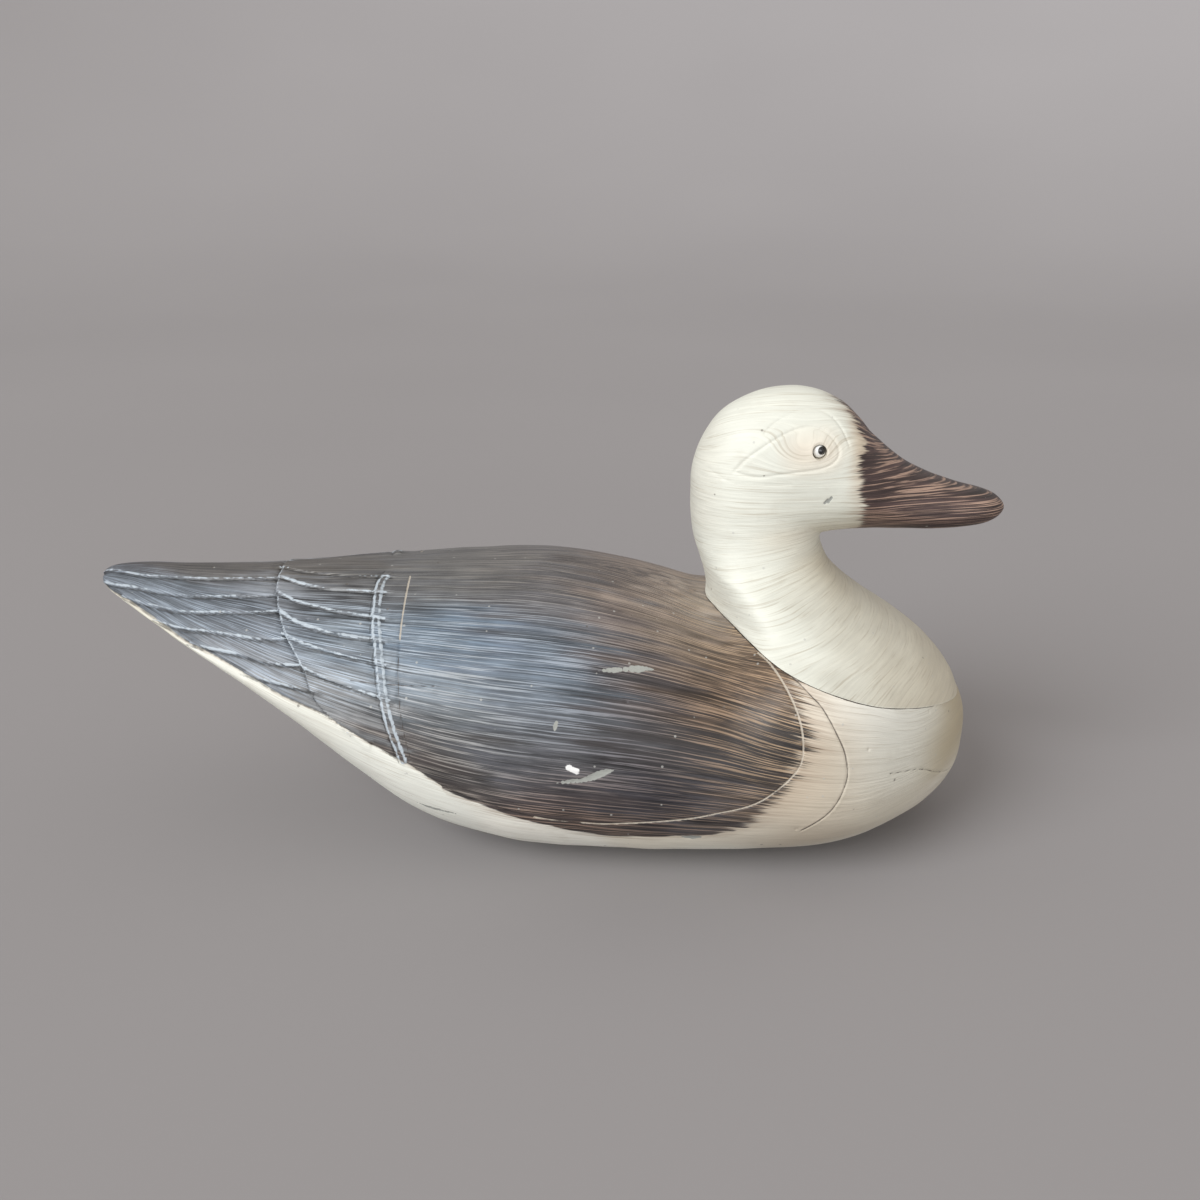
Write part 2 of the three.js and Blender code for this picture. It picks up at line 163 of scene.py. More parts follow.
def head_point(s, angle):
    """The point of the head block at section s and angle in radians, 0 at the rear."""
    index = np.arange(len(HEAD_SECTIONS))
    columns = [smooth_through(index, column) for column in zip(*HEAD_SECTIONS)]
    rear_x, rear_z, front_x, front_z, width, widest, fullness = [column(s) for column in columns]
    c = -np.cos(angle)
    share = widest + c * np.where(c < 0, widest, 1 - widest)
    x = rear_x + (front_x - rear_x) * share
    z = rear_z + (front_z - rear_z) * share
    side = np.sign(np.sin(angle))
    y = side * width * np.abs(np.sin(angle)) ** (2 / fullness)
    blend = np.clip(1 - s / 3, 0, 1)
    first = HEAD_SECTIONS[0]
    seat_x = first[0] + (first[2] - first[0]) * share
    seat_y = body_half_width_at(seat_x, seat_height(seat_x)) * width / first[4]
    seat_y = side * np.maximum(seat_y, 3 * np.abs(np.sin(angle)))
    return np.stack([x, y + (seat_y - y) * blend, z], -1)


# ---- Carving: lines on the body as (x, angle), from the rear to the front or from the back down ----
WING_EDGE = [
    (79, 56), (82, 51), (87, 38), (91, 25), (93, 15), (93, 7), (90, 3), (83, 0), (75, -5), (63, -9),
    (50, -13), (27, -17), (12, -18), (-4, -17),
]
POCKET_EDGE = [(90, 41), (96, 31), (100, 25), (105, 15), (109, 7), (110, 1), (105, -8), (95, -20)]
REAR_LINE = [(-54, 77), (-54, 61), (-54, 37), (-53, 20), (-51, 6), (-49, -2)]
COVERT_BAND = [(-63, 78), (-65, 70), (-64, 52), (-62, 40), (-60, 27), (-58, 16), (-55, 5), (-52, -3)]
COVERT_REAR = [
    (-107, 86), (-107, 71), (-106, 62), (-103, 49), (-99, 38), (-95, 31), (-91, 24), (-86, 11), (-80, 5),
]
FEATHERS = [  # rear edges of the coverts, then the tail feathers, each from the ridge down
    [(-105, 82), (-96, 78), (-80, 76), (-66, 76)],
    [(-105, 72), (-96, 68), (-84, 66), (-66, 66)],
    [(-105, 61), (-97, 57), (-84, 54.5), (-74, 53.5), (-66, 53)],
    [(-103, 50), (-96, 46), (-87, 44), (-78, 43), (-66, 43)],
    [(-99, 38), (-92, 36), (-83, 35), (-74, 34), (-64, 33.5)],
    [(-92, 25), (-84, 23), (-78, 22), (-71, 21), (-62, 20)],
    [(-177, 62), (-165, 57), (-143, 64), (-108, 72)],
    [(-174, 25), (-159, 40), (-136, 50), (-106, 60)],
    [(-165, 14), (-149, 30), (-127, 42), (-104, 50)],
    [(-149, 12), (-130, 27), (-112, 32), (-98, 37)],
    [(-134, 11), (-118, 19), (-107, 21), (-93, 25)],
    [(-110, 9), (-100, 12), (-89, 14)],
]
FLANK_EDGE = [
    (-179, 5), (-173, 11), (-164, 14), (-151, 12), (-139, 10), (-126, 11), (-102, 6), (-85, 5), (-73, 2),
    (-56, -3), (-50, -4), (-35, -10), (-5, -16), (8, -18),
]
PAINT_EDGE = [  # where the dark paint ends above the belly
    (-180, 5), (-164, 13), (-139, 10), (-102, 5.5), (-73, 1.5), (-50, -5), (-35, -11), (-25, -14), (0, -21),
    (22, -26), (50, -24), (66, -21), (80, -14), (95, -8), (110, -4), (172, 0),
]
WING_FRONT = [  # bearing, then the x where the wing's dark paint ends
    (-90, 44), (-35, 48), (-26, 55), (-15, 68), (-8, 78), (0, 87), (8, 92), (16, 94), (24, 93), (32, 91),
    (42, 88), (52, 85), (64, 81), (76, 77), (90, 75),
]
AGE_CHECKS = [[(-72, 24.5), (-57, 26), (-40, 28)], [(128, 1), (142, 0), (152, -8), (161, -21)]]
CHIPS = [  # bare patches as (x, angle, radius in mm) along each
    [(20, 39.5, 0.2), (25, 40.5, 1.1), (28, 41.2, 0.9), (34, 42.5, 1.6), (38, 43.5, 0.7), (40, 43.5, 0.2)],
    [(5, 0, 0.2), (10, 1, 0.8), (14, 1.5, 0.7), (18, 3, 1.3), (22, 5, 1.2), (25, 6, 0.3)],
    [(-49, -29.5, 0.2), (-42, -28, 0.8), (-34, -26, 0.3)],
    [(51, -25, 0.4), (54, -25, 1.3), (57.5, -24.5, 0.5)], [(4, 17.5, 0.3), (4.3, 19, 0.6), (4.8, 20.5, 0.3)],
]
FILLER_SPOT = [(9, 5.5), (12, 4.5)]
PINHOLES = [(93, -19), (118, 8), (123, 45), (145, 24), (114, 50), (-91, 48), (30, 30), (-60, 22)]
STROKE_TOP = [  # bearing of the uppermost strokes, which lean down towards the breast
    (-180, 90), (-60, 90), (-10, 89), (30, 84), (60, 75), (85, 63), (110, 55), (140, 54), (172, 58),
]


def bearing_of(points):
    """The direction of each point from the middle of its section, in degrees: 0 level, 90 straight up."""
    return np.degrees(np.arctan2(points[:, 2] - widest_height(points[:, 0]), np.abs(points[:, 1])))


def bearings(stations):
    """Stations of (x, angle) as (x, bearing), which changes evenly over the surface."""
    stations = np.asarray(stations, float)
    points = body_point(stations[:, 0], stations[:, 1])
    return np.stack([stations[:, 0], bearing_of(points)], 1)


def path_on_body(stations, step=1.5):
    """Points in mm along a line on the left side, given by its (x, angle) stations."""
    stations = np.asarray(stations, float)
    index = np.arange(len(stations))
    rough = body_point(stations[:, 0], stations[:, 1])
    count = max(4, int(np.linalg.norm(np.diff(rough, axis=0), axis=1).sum() / step))
    t = np.linspace(0, len(stations) - 1, count)
    x = smooth_through(index, stations[:, 0])(t)
    bearing = smooth_through(index, bearings(stations)[:, 1])(t)
    angles = np.linspace(-90, 90, 721)
    found = [np.interp(b, bearing_of(body_point(at, angles)), angles) for at, b in zip(x, bearing)]
    return body_point(x, np.array(found))


def nearest_on(points, normals, path, reach):
    """Distance over the surface from each point to a path, and its signed offset: positive below a path
    that runs forward and behind one that runs down. Points and path are on the left side. Both are 99
    beyond reach."""
    distance = np.full(len(points), 99.0)
    offset = np.full(len(points), 99.0)
    near = np.flatnonzero(((points > path.min(0) - reach) & (points < path.max(0) + reach)).all(1))
    start, step = path[:-1], np.diff(path, axis=0)
    length = (step * step).sum(-1)
    for rows in np.array_split(near, len(near) * len(step) // 2_000_000 + 1):
        apart = points[rows, None] - start[None]
        t = np.clip((apart * step).sum(-1) / length, 0, 1)
        gap = apart - t[..., None] * step
        square = (gap ** 2).sum(-1)
        best = square.argmin(1)
        pick = np.arange(len(rows))
        along = step[best] / np.sqrt(length[best])[:, None]
        gap = gap[pick, best]
        proud = (gap * normals[rows]).sum(-1)
        distance[rows] = np.sqrt(np.maximum(square[pick, best] - np.minimum(proud ** 2, 1), 0))
        offset[rows] = (np.cross(normals[rows], along) * gap).sum(-1)
    return distance, offset


def hill(d, width):
    return np.exp(-(d / width) ** 2)


def smoothstep(low, high, value):
    t = np.clip((value - low) / (high - low), 0, 1)
    return t * t * (3 - 2 * t)


def wobble(points, wavelength, seed):
    """Smooth random unevenness, mostly between -1 and 1, from waves in random directions."""
    random = np.random.default_rng(seed)
    total = np.zeros(len(points))
    for _ in range(7):
        direction = random.normal(size=3)
        direction *= 2 * np.pi / (wavelength * random.uniform(0.7, 1.5) * np.linalg.norm(direction))
        total += np.sin(points @ direction + random.uniform(0, 2 * np.pi))
    return total / 3.5


def folded(points, normals):
    """Both sides of the bird laid over its left side, where the carved lines are kept."""
    side = np.where(points[:, 1:2] < 0, -1.0, 1.0)
    flip = np.concatenate([np.ones_like(side), side, np.ones_like(side)], 1)
    return points * flip, normals * flip


def blobs(stations, count=14):
    """Stations along a bare patch, closer together."""
    stations = np.asarray(stations, float)
    t = np.linspace(0, len(stations) - 1, count)
    return np.stack([np.interp(t, np.arange(len(stations)), column) for column in stations.T], 1)


class Carving:
    """Distances from points on the body to its carved lines, in mm."""

    def __init__(self, points, normals, reach=16.0):
        points, normals = folded(points, normals)

        def to(stations, within):
            return nearest_on(points, normals, path_on_body(stations), min(within, reach))

        self.wing, _ = to(WING_EDGE, 3)
        self.pocket, _ = to(POCKET_EDGE, 3)
        self.rear, _ = to(REAR_LINE, 3)
        self.band, self.band_offset = to(COVERT_BAND, 8)
        self.step, self.step_offset = to(COVERT_REAR, 16)
        self.flank, self.flank_offset = to(FLANK_EDGE, 5)
        self.check = np.min([to(path, 3)[0] for path in AGE_CHECKS], axis=0)
        self.feather = np.full(len(points), 99.0)
        self.feather_offset = np.full(len(points), 99.0)
        for path in FEATHERS:
            distance, offset = to(path, 7)
            closer = distance < self.feather
            self.feather = np.where(closer, distance, self.feather)
            self.feather_offset = np.where(closer, offset, self.feather_offset)
        self.chip = np.full(len(points), 99.0)
        for x, angle, radius in np.concatenate([blobs(chip) for chip in CHIPS]):
            gap = np.linalg.norm(points - body_point(x, angle), axis=1)
            self.chip = np.minimum(self.chip, gap - radius)
        self.spot = to(FILLER_SPOT, 4)[0]
        pins = np.array([body_point(x, angle) for x, angle in PINHOLES])
        self.pin = np.min([np.linalg.norm(points - pin, axis=1) for pin in pins], axis=0)

    def nearest(self):
        lines = [self.wing, self.pocket, self.rear, self.band - 1, self.step, self.flank, self.check]
        return np.min(lines + [self.feather, self.chip, self.spot, self.pin], axis=0)

    def relief(self, points):
        """How far the carving raises the surface, in mm."""
        seat = from_seat(points)
        height = 0.22 * wobble(points, 42, 11) + 0.09 * wobble(points, 15, 12)
        for line, depth in ((self.wing, 0.38), (self.pocket, 0.32), (self.rear, 0.3), (self.check, 0.25)):
            height -= depth * hill(line, 0.36)
            height += 0.08 * hill(line - 0.9, 0.4)
        s = self.feather_offset
        above = np.where(s < 0, np.exp(s / 2.4), 0) * smoothstep(99, 90, self.feather)
        height += 0.55 * above * smoothstep(0.3, -0.5, s) - 0.3 * hill(self.feather, 9) * hill(s - 0.8, 0.7)
        height += 0.5 * smoothstep(2.1, 1.1, self.band)
        height -= 0.25 * hill(self.band_offset - 2.6, 0.7) * (self.band < 9)
        s = self.step_offset
        height += 0.65 * np.where(s < 0, np.exp(s / 9), 0) * smoothstep(0.3, -0.3, s) * (self.step < 90)
        height -= 0.35 * hill(s - 0.5, 0.5) * (self.step < 2)
        s = self.flank_offset
        height += 0.35 * hill(s + 0.9, 0.9) - 0.4 * hill(s - 0.3, 0.7)
        height -= 0.22 * smoothstep(0.3, -0.4, self.chip + 0.5 * wobble(points, 3.5, 13))
        height += 0.15 * smoothstep(1.2, 0.4, self.spot)
        height -= 0.5 * hill(self.pin, 0.45)
        return height - 0.2 * hill(seat, 0.45)


# ---- Fine meshes: a grid in the form's own two parameters, refined near the carving ----
def refined_grid(columns, rows, place, carved, finest, rounds=3):
    """A grid over the unit square, its longer edges halved near the carving: its points and faces."""
    u, v = np.meshgrid(np.linspace(0, 1, columns + 1), np.linspace(0, 1, rows + 1), indexing="ij")
    index = np.arange((columns + 1) * (rows + 1)).reshape(columns + 1, rows + 1)
    corners = [index[:-1, :-1], index[1:, :-1], index[1:, 1:], index[:-1, 1:]]
    mesh = bpy.data.meshes.new("grid")
    flat = np.stack([u.ravel(), v.ravel(), np.zeros(u.size)], 1)
    mesh.from_pydata(flat.tolist(), [], np.stack([c.ravel() for c in corners], 1).tolist())
    grid = bmesh.new()
    grid.from_mesh(mesh)
    bpy.data.meshes.remove(mesh)
    for _ in range(rounds):
        flat = np.array([p.co for p in grid.verts])
        points = place(flat[:, 0], flat[:, 1])
        ends = np.array([(e.verts[0].index, e.verts[1].index) for e in grid.edges])
        length = np.linalg.norm(points[ends[:, 0]] - points[ends[:, 1]], axis=1)
        distance = carved(points)[ends].max(axis=1)
        chosen = (length > finest) & (distance < 1.3 * length + 0.2)
        edges = [e for e, split in zip(grid.edges, chosen) if split]
        bmesh.ops.subdivide_edges(grid, edges=edges, cuts=1, use_grid_fill=True)
        grid.verts.index_update()
    flat = np.array([p.co for p in grid.verts])
    faces = [[p.index for p in f.verts] for f in grid.faces]
    grid.free()
    return place(flat[:, 0], flat[:, 1]), faces


def add_object(name, data):
    made = bpy.data.objects.new(name, data)
    bpy.context.scene.collection.objects.link(made)
    return made


def only_material(data, material):
    data.materials.clear()
    data.materials.append(material)


def mesh_object(name, points, faces, weld=0.0001):
    """A triangle mesh object from points in mm, its coincident points joined."""
    mesh = bpy.data.meshes.new(name)
    mesh.from_pydata(np.asarray(points, float).tolist(), [], faces)
    made = bmesh.new()
    made.from_mesh(mesh)
    bmesh.ops.remove_doubles(made, verts=made.verts, dist=weld)
    bmesh.ops.dissolve_degenerate(made, edges=made.edges, dist=weld)
    bmesh.ops.triangulate(made, faces=made.faces)
    bmesh.ops.recalc_face_normals(made, faces=made.faces)
    made.to_mesh(mesh)
    made.free()
    return add_object(name, mesh)


def coordinates_and_normals(mesh):
    read = []
    for source, key in ((mesh.vertices, "co"), (mesh.vertex_normals, "vector")):
        values = np.zeros(len(source) * 3, np.float32)
        source.foreach_get(key, values)
        read.append(values.reshape(-1, 3).astype(float))
    return read


def displace(piece, relief):
    points, normals = coordinates_and_normals(piece.data)
    points += normals * relief(points, normals)[:, None]
    piece.data.vertices.foreach_set("co", points.astype(np.float32).ravel())
    piece.data.update()


def cut(piece, cutters, material, operation="DIFFERENCE"):
    """Cuts the piece by each closed mesh in turn; the faces that a cutter leaves take its material."""
    for cutter in cutters:
        only_material(cutter.data, material)
        tool = piece.modifiers.new("cut", "BOOLEAN")
        tool.operation = operation
        tool.solver = "MANIFOLD"
        tool.material_mode = "TRANSFER"
        tool.object = cutter
        bpy.context.view_layer.update()
        result = bpy.data.meshes.new_from_object(piece.evaluated_get(bpy.context.evaluated_depsgraph_get()))
        piece.modifiers.clear()
        old, piece.data = piece.data, result
        bpy.data.meshes.remove(old)
        bpy.data.objects.remove(cutter)


# ---- Closed shapes, in mm ----
def lofted(name, rings):
    """Rings of equal count joined by quads, the first and last closed by a fan."""
    rings = np.asarray(rings, float)
    count = rings.shape[1]
    points = rings.reshape(-1, 3).tolist() + [rings[0].mean(0).tolist(), rings[-1].mean(0).tolist()]
    first, last = len(points) - 2, len(points) - 1
    faces = []
    for j in range(count):
        k = (j + 1) % count
        faces.append([first, k, j])
        faces.append([last, last - 1 - count + j, last - 1 - count + k])
        for i in range(len(rings) - 1):
            low = i * count
            faces.append([low + j, low + k, low + count + k, low + count + j])
    return mesh_object(name, points, faces)


def turned(name, profile, centre=(0, 0, 0), axis="Z", sides=48):
    """A shape turned about an axis through centre, from (radius, height) stations."""
    turn = np.linspace(0, 2 * np.pi, sides, endpoint=False)
    rings = []
    for radius, height in profile:
        a, b = radius * np.cos(turn), radius * np.sin(turn)
        h = np.full(sides, height)
        rings.append(np.stack([a, b, h] if axis == "Z" else [a, h, b], 1) + centre)
    return lofted(name, rings)


def bar(radius, low, high, x, y, sides=40):
    return turned("cutter", [(radius, low), (radius, high)], (x, y, 0), sides=sides)


def block(low, high, name="cutter"):
    low, high = np.asarray(low, float), np.asarray(high, float)
    corners = [(0, 0), (1, 0), (1, 1), (0, 1)]
    rings = [[low + (high - low) * (a, b, level) for a, b in corners] for level in (0, 1)]
    return lofted(name, rings)


def slab(low, high):
    """A level layer wider than the body."""
    return block((-300, -200, low), (300, 200, high))


def above_seat(offset):
    """The space above the neck seat, raised by offset along the seat's normal."""
    lift = offset * math.hypot(1, SEAT_SLOPE)
    ends = [(x, seat_height(x) + lift) for x in (-300, 400)]
    return lofted("cutter", [[(x, -200, z), (x, 200, z), (x, 200, 500), (x, -200, 500)] for x, z in ends])


def torus(name, radius, wire, centre, tilt, around=96, section=24):
    """A ring in the plane of X and Z turned about Y, or lying flat when tilt is given in degrees."""
    turn = np.linspace(0, 2 * np.pi, around, endpoint=False)
    small = np.linspace(0, 2 * np.pi, section, endpoint=False)
    points, faces = [], []
    for i, big in enumerate(turn):
        reach = radius + wire * np.cos(small)
        flat = np.stack([reach * math.cos(big), reach * math.sin(big), wire * np.sin(small)], 1)
        points += flat.tolist()
        n = (i + 1) % around
        for j in range(section):
            k = (j + 1) % section
            faces.append([i * section + j, n * section + j, n * section + k, i * section + k])
    points = np.array(points)
    if tilt is None:
        points = points[:, [0, 2, 1]]
    else:
        points[:, 0] += radius
        points = points @ np.array(Matrix.Rotation(math.radians(tilt), 3, "Y")).T
    return mesh_object(name, points + centre, faces)


# ---- Paint, with painted light and shade: colours laid out over the form, as screen values from 0 to 255 ----
def paint(colour):
    value = np.asarray(colour, float) / 255
    return np.where(value <= 0.04045, value / 12.92, ((value + 0.055) / 1.055) ** 2.4)


# These three tables hold painted light and shade as well as the paint's own colours: lighter where light
# falls, as the bright back entry at (60, 80) by the neck, and darker where the form faces down or away.
BACK_COLOURS = [  # x, angle, colour of the dark paint
    (-175, 80, (88, 86, 90)), (-140, 82, (110, 108, 108)), (-90, 84, (122, 118, 114)),
    (-30, 84, (128, 127, 126)), (30, 84, (112, 105, 103)), (60, 80, (210, 196, 183)),
    (-60, 68, (122, 123, 126)), (0, 66, (126, 124, 127)), (25, 62, (134, 122, 118)),
    (55, 60, (166, 147, 131)), (-170, 30, (120, 128, 138)), (38, 74, (184, 166, 153)),
    (-150, 40, (130, 140, 150)), (-118, 45, (116, 124, 134)), (-115, 18, (166, 172, 180)),
    (-102, 58, (174, 180, 189)), (-86, 60, (60, 60, 64)), (-84, 40, (118, 129, 141)),
    (-70, 42, (168, 178, 187)), (-82, 12, (164, 166, 168)), (-54, 45, (116, 132, 148)),
    (-38, 38, (138, 158, 178)), (-38, 24, (158, 170, 180)), (-38, 9, (88, 87, 88)), (-45, 0, (98, 90, 88)),
    (-15, 40, (128, 142, 160)), (-5, 28, (130, 144, 158)), (5, 42, (120, 134, 148)),
    (-8, 14, (112, 113, 120)), (6, 20, (68, 72, 79)), (6, 8, (104, 104, 108)), (8, -6, (84, 78, 82)),
    (8, -14, (96, 82, 77)), (22, 38, (74, 74, 80)), (35, 38, (98, 90, 90)), (36, 14, (58, 52, 53)),
    (35, -2, (76, 76, 86)), (35, -12, (62, 55, 54)), (62, 44, (80, 65, 55)), (62, 28, (65, 54, 49)),
    (62, 12, (57, 52, 55)), (62, -4, (90, 88, 94)), (78, 36, (120, 99, 80)), (78, 52, (122, 101, 82)),
    (80, 10, (63, 56, 53)), (78, -6, (108, 96, 88)),
]
STREAK_COLOURS = [  # colour of the light strokes over it
    (-170, 40, (170, 182, 196)), (-120, 40, (166, 178, 192)), (-120, 84, (128, 124, 120)),
    (-60, 84, (140, 138, 134)), (-60, 40, (176, 190, 204)), (-30, 20, (186, 192, 196)),
    (-40, 2, (152, 142, 132)), (0, 40, (166, 178, 192)), (0, 10, (130, 136, 144)), (5, -14, (164, 138, 120)),
    (0, 80, (146, 140, 134)), (30, 75, (170, 152, 138)), (35, 45, (146, 136, 132)), (35, 8, (110, 110, 118)),
    (40, -12, (120, 102, 90)), (60, 62, (190, 166, 138)), (66, 38, (160, 132, 108)),
    (66, 12, (134, 112, 94)), (70, -8, (172, 152, 134)), (84, 30, (190, 161, 128)),
    (88, 10, (200, 173, 140)),
]
# Cream entries low on the flanks and at the breast's front are darker as painted shade.
CREAM_COLOURS = [  # colour of the pale paint on the breast, the flanks and the underside
    (-170, -20, (226, 224, 210)), (-110, -20, (232, 232, 222)), (-50, -30, (236, 237, 228)),
    (0, -50, (244, 244, 234)), (60, -50, (240, 240, 228)), (0, -24, (246, 244, 234)),
    (45, -24, (236, 230, 214)), (75, -20, (214, 206, 190)), (92, 14, (214, 194, 168)),
    (92, -2, (206, 192, 172)), (93, 30, (218, 206, 188)), (103, 12, (204, 194, 176)),
    (108, 24, (232, 230, 220)), (106, -8, (206, 197, 180)), (100, -25, (186, 174, 156)),
    (122, 28, (247, 247, 239)), (126, 8, (230, 230, 220)), (124, -10, (208, 202, 186)),
    (140, 20, (226, 225, 214)), (158, 10, (184, 172, 144)), (166, 30, (190, 178, 152)),
    (160, -30, (218, 212, 198)), (110, -50, (228, 226, 214)), (70, 84, (230, 226, 214)),
]


def laid_out(x, angle, anchors, wide=15.0, high=13.0):
    """The colour at (x, angle) on the body: the mean of the anchors, the near ones counting most."""
    total = np.zeros((len(x), 3))
    weight = np.zeros(len(x))
    for at_x, at_angle, colour in anchors:
        square = ((x - at_x) / wide) ** 2 + ((angle - at_angle) / high) ** 2
        w = np.exp(-square) + 1e-4 / (1 + square)
        total += w[:, None] * paint(colour)
        weight += w
    return total / weight[:, None]


def section_angle(points):
    """The angle round its section of each point on or near the body."""
    x, y, z = points.T
    above = z >= widest_height(x)
    reach = np.where(above, back_line(x) - widest_height(x), widest_height(x) - keel_line(x))
    power = np.where(above, upper_fullness(x), lower_fullness(x)) / 2
    rise = (np.abs(z - widest_height(x)) / np.maximum(reach, 0.01)) ** power
    out = (np.abs(y) / np.maximum(half_width(x), 0.01)) ** power
    return np.degrees(np.arctan2(rise, out)) * np.where(above, 1, -1)


def lookup(stations, position):
    stations = np.asarray(stations, float)
    return smooth_through(stations[:, 0], stations[:, 1])(position)


def body_fields(points, normals):
    """What the paint needs to know at each point of the body. On the breast the strokes wrap round it."""
    x = points[:, 0]
    angle = section_angle(points)
    carving = Carving(points, normals)
    bearing = bearing_of(points)
    stroke = -20 + (bearing + 20) * 110 / (lookup(STROKE_TOP, x) + 20)
    from_middle = np.hypot(points[:, 1], points[:, 2] - widest_height(x))
    below = np.radians(lookup(bearings(PAINT_EDGE), x) - bearing) * from_middle
    on_flank = (carving.flank < 4.9) & (x < -38)
    below = np.where(on_flank, 3 * carving.flank_offset - 0.4, below)
    s = carving.feather_offset
    near = carving.feather < 90
    # Painted light and shade on the dark paint: lighter just above each feather's edge, darker just below it
    # where the feather above shades it, and darker behind the covert step and beside the band.
    above = 0.4 * np.where(s < 0, np.exp(s / 2.6), 0) * smoothstep(84, 68, angle)
    light = 1 + near * (above - 0.42 * np.where(s > 0, np.exp(-s / 1.9), 0))
    light *= 1 - 0.3 * np.where(carving.step_offset > 0, np.exp(-carving.step_offset / 2.5), 0)
    light *= 1 - 0.25 * np.where(carving.band_offset > 1.8, np.exp(-(carving.band_offset - 1.8) / 2), 0)
    # Pale lines along the raised feather edges, the covert step, the band and the flank lip: partly
    # drybrushed paint, partly painted highlight where these edges catch the light.
    drybrush_highlight = np.min([
        np.abs(s + 0.45), np.abs(carving.step_offset + 0.5) + 0.1, np.abs(carving.flank_offset + 0.9) + 0.6,
    ], axis=0) + 0.28 * wobble(points, 22, 41)
    drybrush_highlight = np.minimum(drybrush_highlight, np.abs(np.abs(carving.band - 1.1) - 0.2)) + 0.5
    drybrush_highlight += 3 * smoothstep(75, 81, angle) * (x > -104)
    # Painted shade: dark lines just below the raised feather edges, beside the band, behind the covert step
    # and under the flank lip, where the raised edge above shades them.
    groove = np.min([
        np.abs(s - 0.7), np.abs(carving.band_offset - 2.4), np.abs(carving.step_offset - 0.5) + 0.25,
        np.abs(carving.flank_offset - 0.3) + 0.1,
    ], axis=0)
    over = points[:, 2] - widest_height(x)
    wrap = smoothstep(118, 150, x)
    across = 1.25 * stroke * (1 - wrap) + (12 + 2 * over) * wrap
    depth = points[:, 1] * 0.15 + 9 * smoothstep(-3, 3, points[:, 1]) * (1 - wrap)
    flow = np.stack([x, across, depth], 1)
    # The breast's front pole: tan paint, darkened as painted shade on the front that faces away from the
    # light, most on its upper part.
    low_breast, high_breast = paint((212, 206, 190)), paint((186, 174, 147))
    breast = low_breast + smoothstep(-14, 6, over)[:, None] * (high_breast - low_breast)
    cream = laid_out(x, angle, CREAM_COLOURS)
    cream += smoothstep(148, 166, x)[:, None] * (breast - cream)
    drag = wobble(flow * (0.06, 1, 1), 4.5, 51) + 0.6 * wobble(flow * (0.05, 1, 1), 2.5, 52)
    return {
        "flow": flow,
        # The dark paint and its strokes carry that painted light and shade.
        "coat": laid_out(x + 13 * drag, angle + 3 * drag, BACK_COLOURS, 12, 11) * light[:, None],
        "streak": laid_out(x, angle, STREAK_COLOURS, 20, 18) * np.clip(light, 0.8, 1.2)[:, None],
        "cream": cream,
        "ahead": x - lookup(WING_FRONT, bearing),
        "below": below,
        "scribe": np.minimum(carving.wing, carving.rear + 3 * smoothstep(45, 38, angle)),
        "crack": np.min([
            carving.pocket, carving.check, carving.rear + 3 * smoothstep(36, 44, angle),
        ], axis=0),
        "drybrush_highlight": drybrush_highlight,
        "groove": groove,
        "chip": np.where(points[:, 1] < 0, carving.chip, 99),
        "spot": carving.spot,
    }


BILL_FRONT = [  # height, then the x where the bill's dark paint begins
    (128, 121.5), (131.7, 120.9), (140.6, 119.6), (149.4, 119), (157.4, 119.8), (163.6, 119.4), (170, 116),
    (176, 111),
]
EYE_GROOVE = [  # x, z of the groove that frames the eye, closed behind it
    (71, 150.5), (75.5, 155.5), (84, 161.5), (91, 165.3), (97.7, 167.2), (103, 166.2), (106.8, 163.6),
    (109.4, 160), (109.6, 156.6), (107, 153.8), (103, 152.2), (97, 151.3), (87.4, 150), (79, 149),
]
BROW_GROOVE = [
    (82, 165), (86.5, 168.8), (92, 171.6), (97.5, 173.2), (103, 172.8), (108, 170), (111.5, 165.5),
    (114, 160),
]
NAPE_GROOVES = [[(60, 160), (68, 163), (76, 163.5)], [(62, 150), (70, 146.5), (80, 145.8), (92, 146.4)]]
EYE_X, EYE_OUT, EYE_Z, EYE_RADIUS = 102.5, 21.2, 158.3, 2.5
EYE_RECESS, EYE_STEM_HOLE, EYE_STEM_DEPTH = 3.1, 0.8, 10.3
HEAD_CHIPS = [([(105.5, 138.8), (106.5, 140.2)], 0.35), ([(106.7, 139.2), (107.8, 141)], 0.35)]


def head_line(stations, step=0.8):
    """Points on the left of the head above each (x, z), found on the head's own surface."""
    stations = np.asarray(stations, float)
    index = np.arange(len(stations))
    length = np.linalg.norm(np.diff(stations, axis=0), axis=1).sum()
    t = np.linspace(0, len(stations) - 1, max(4, int(length / step)))
    return np.stack([smooth_through(index, stations[:, 0])(t), smooth_through(index, stations[:, 1])(t)], 1)


def plan_distance(points, stations, reach):
    """Distance in the side view from points on the head to a line of (x, z), 99 where it is far."""
    flat = points[:, [0, 0, 2]] * (1, 0, 1)
    path = head_line(stations)
    path = np.stack([path[:, 0], path[:, 0] * 0, path[:, 1]], 1)
    return nearest_on(flat, np.tile((0.0, 1.0, 0.0), (len(flat), 1)), path, reach)


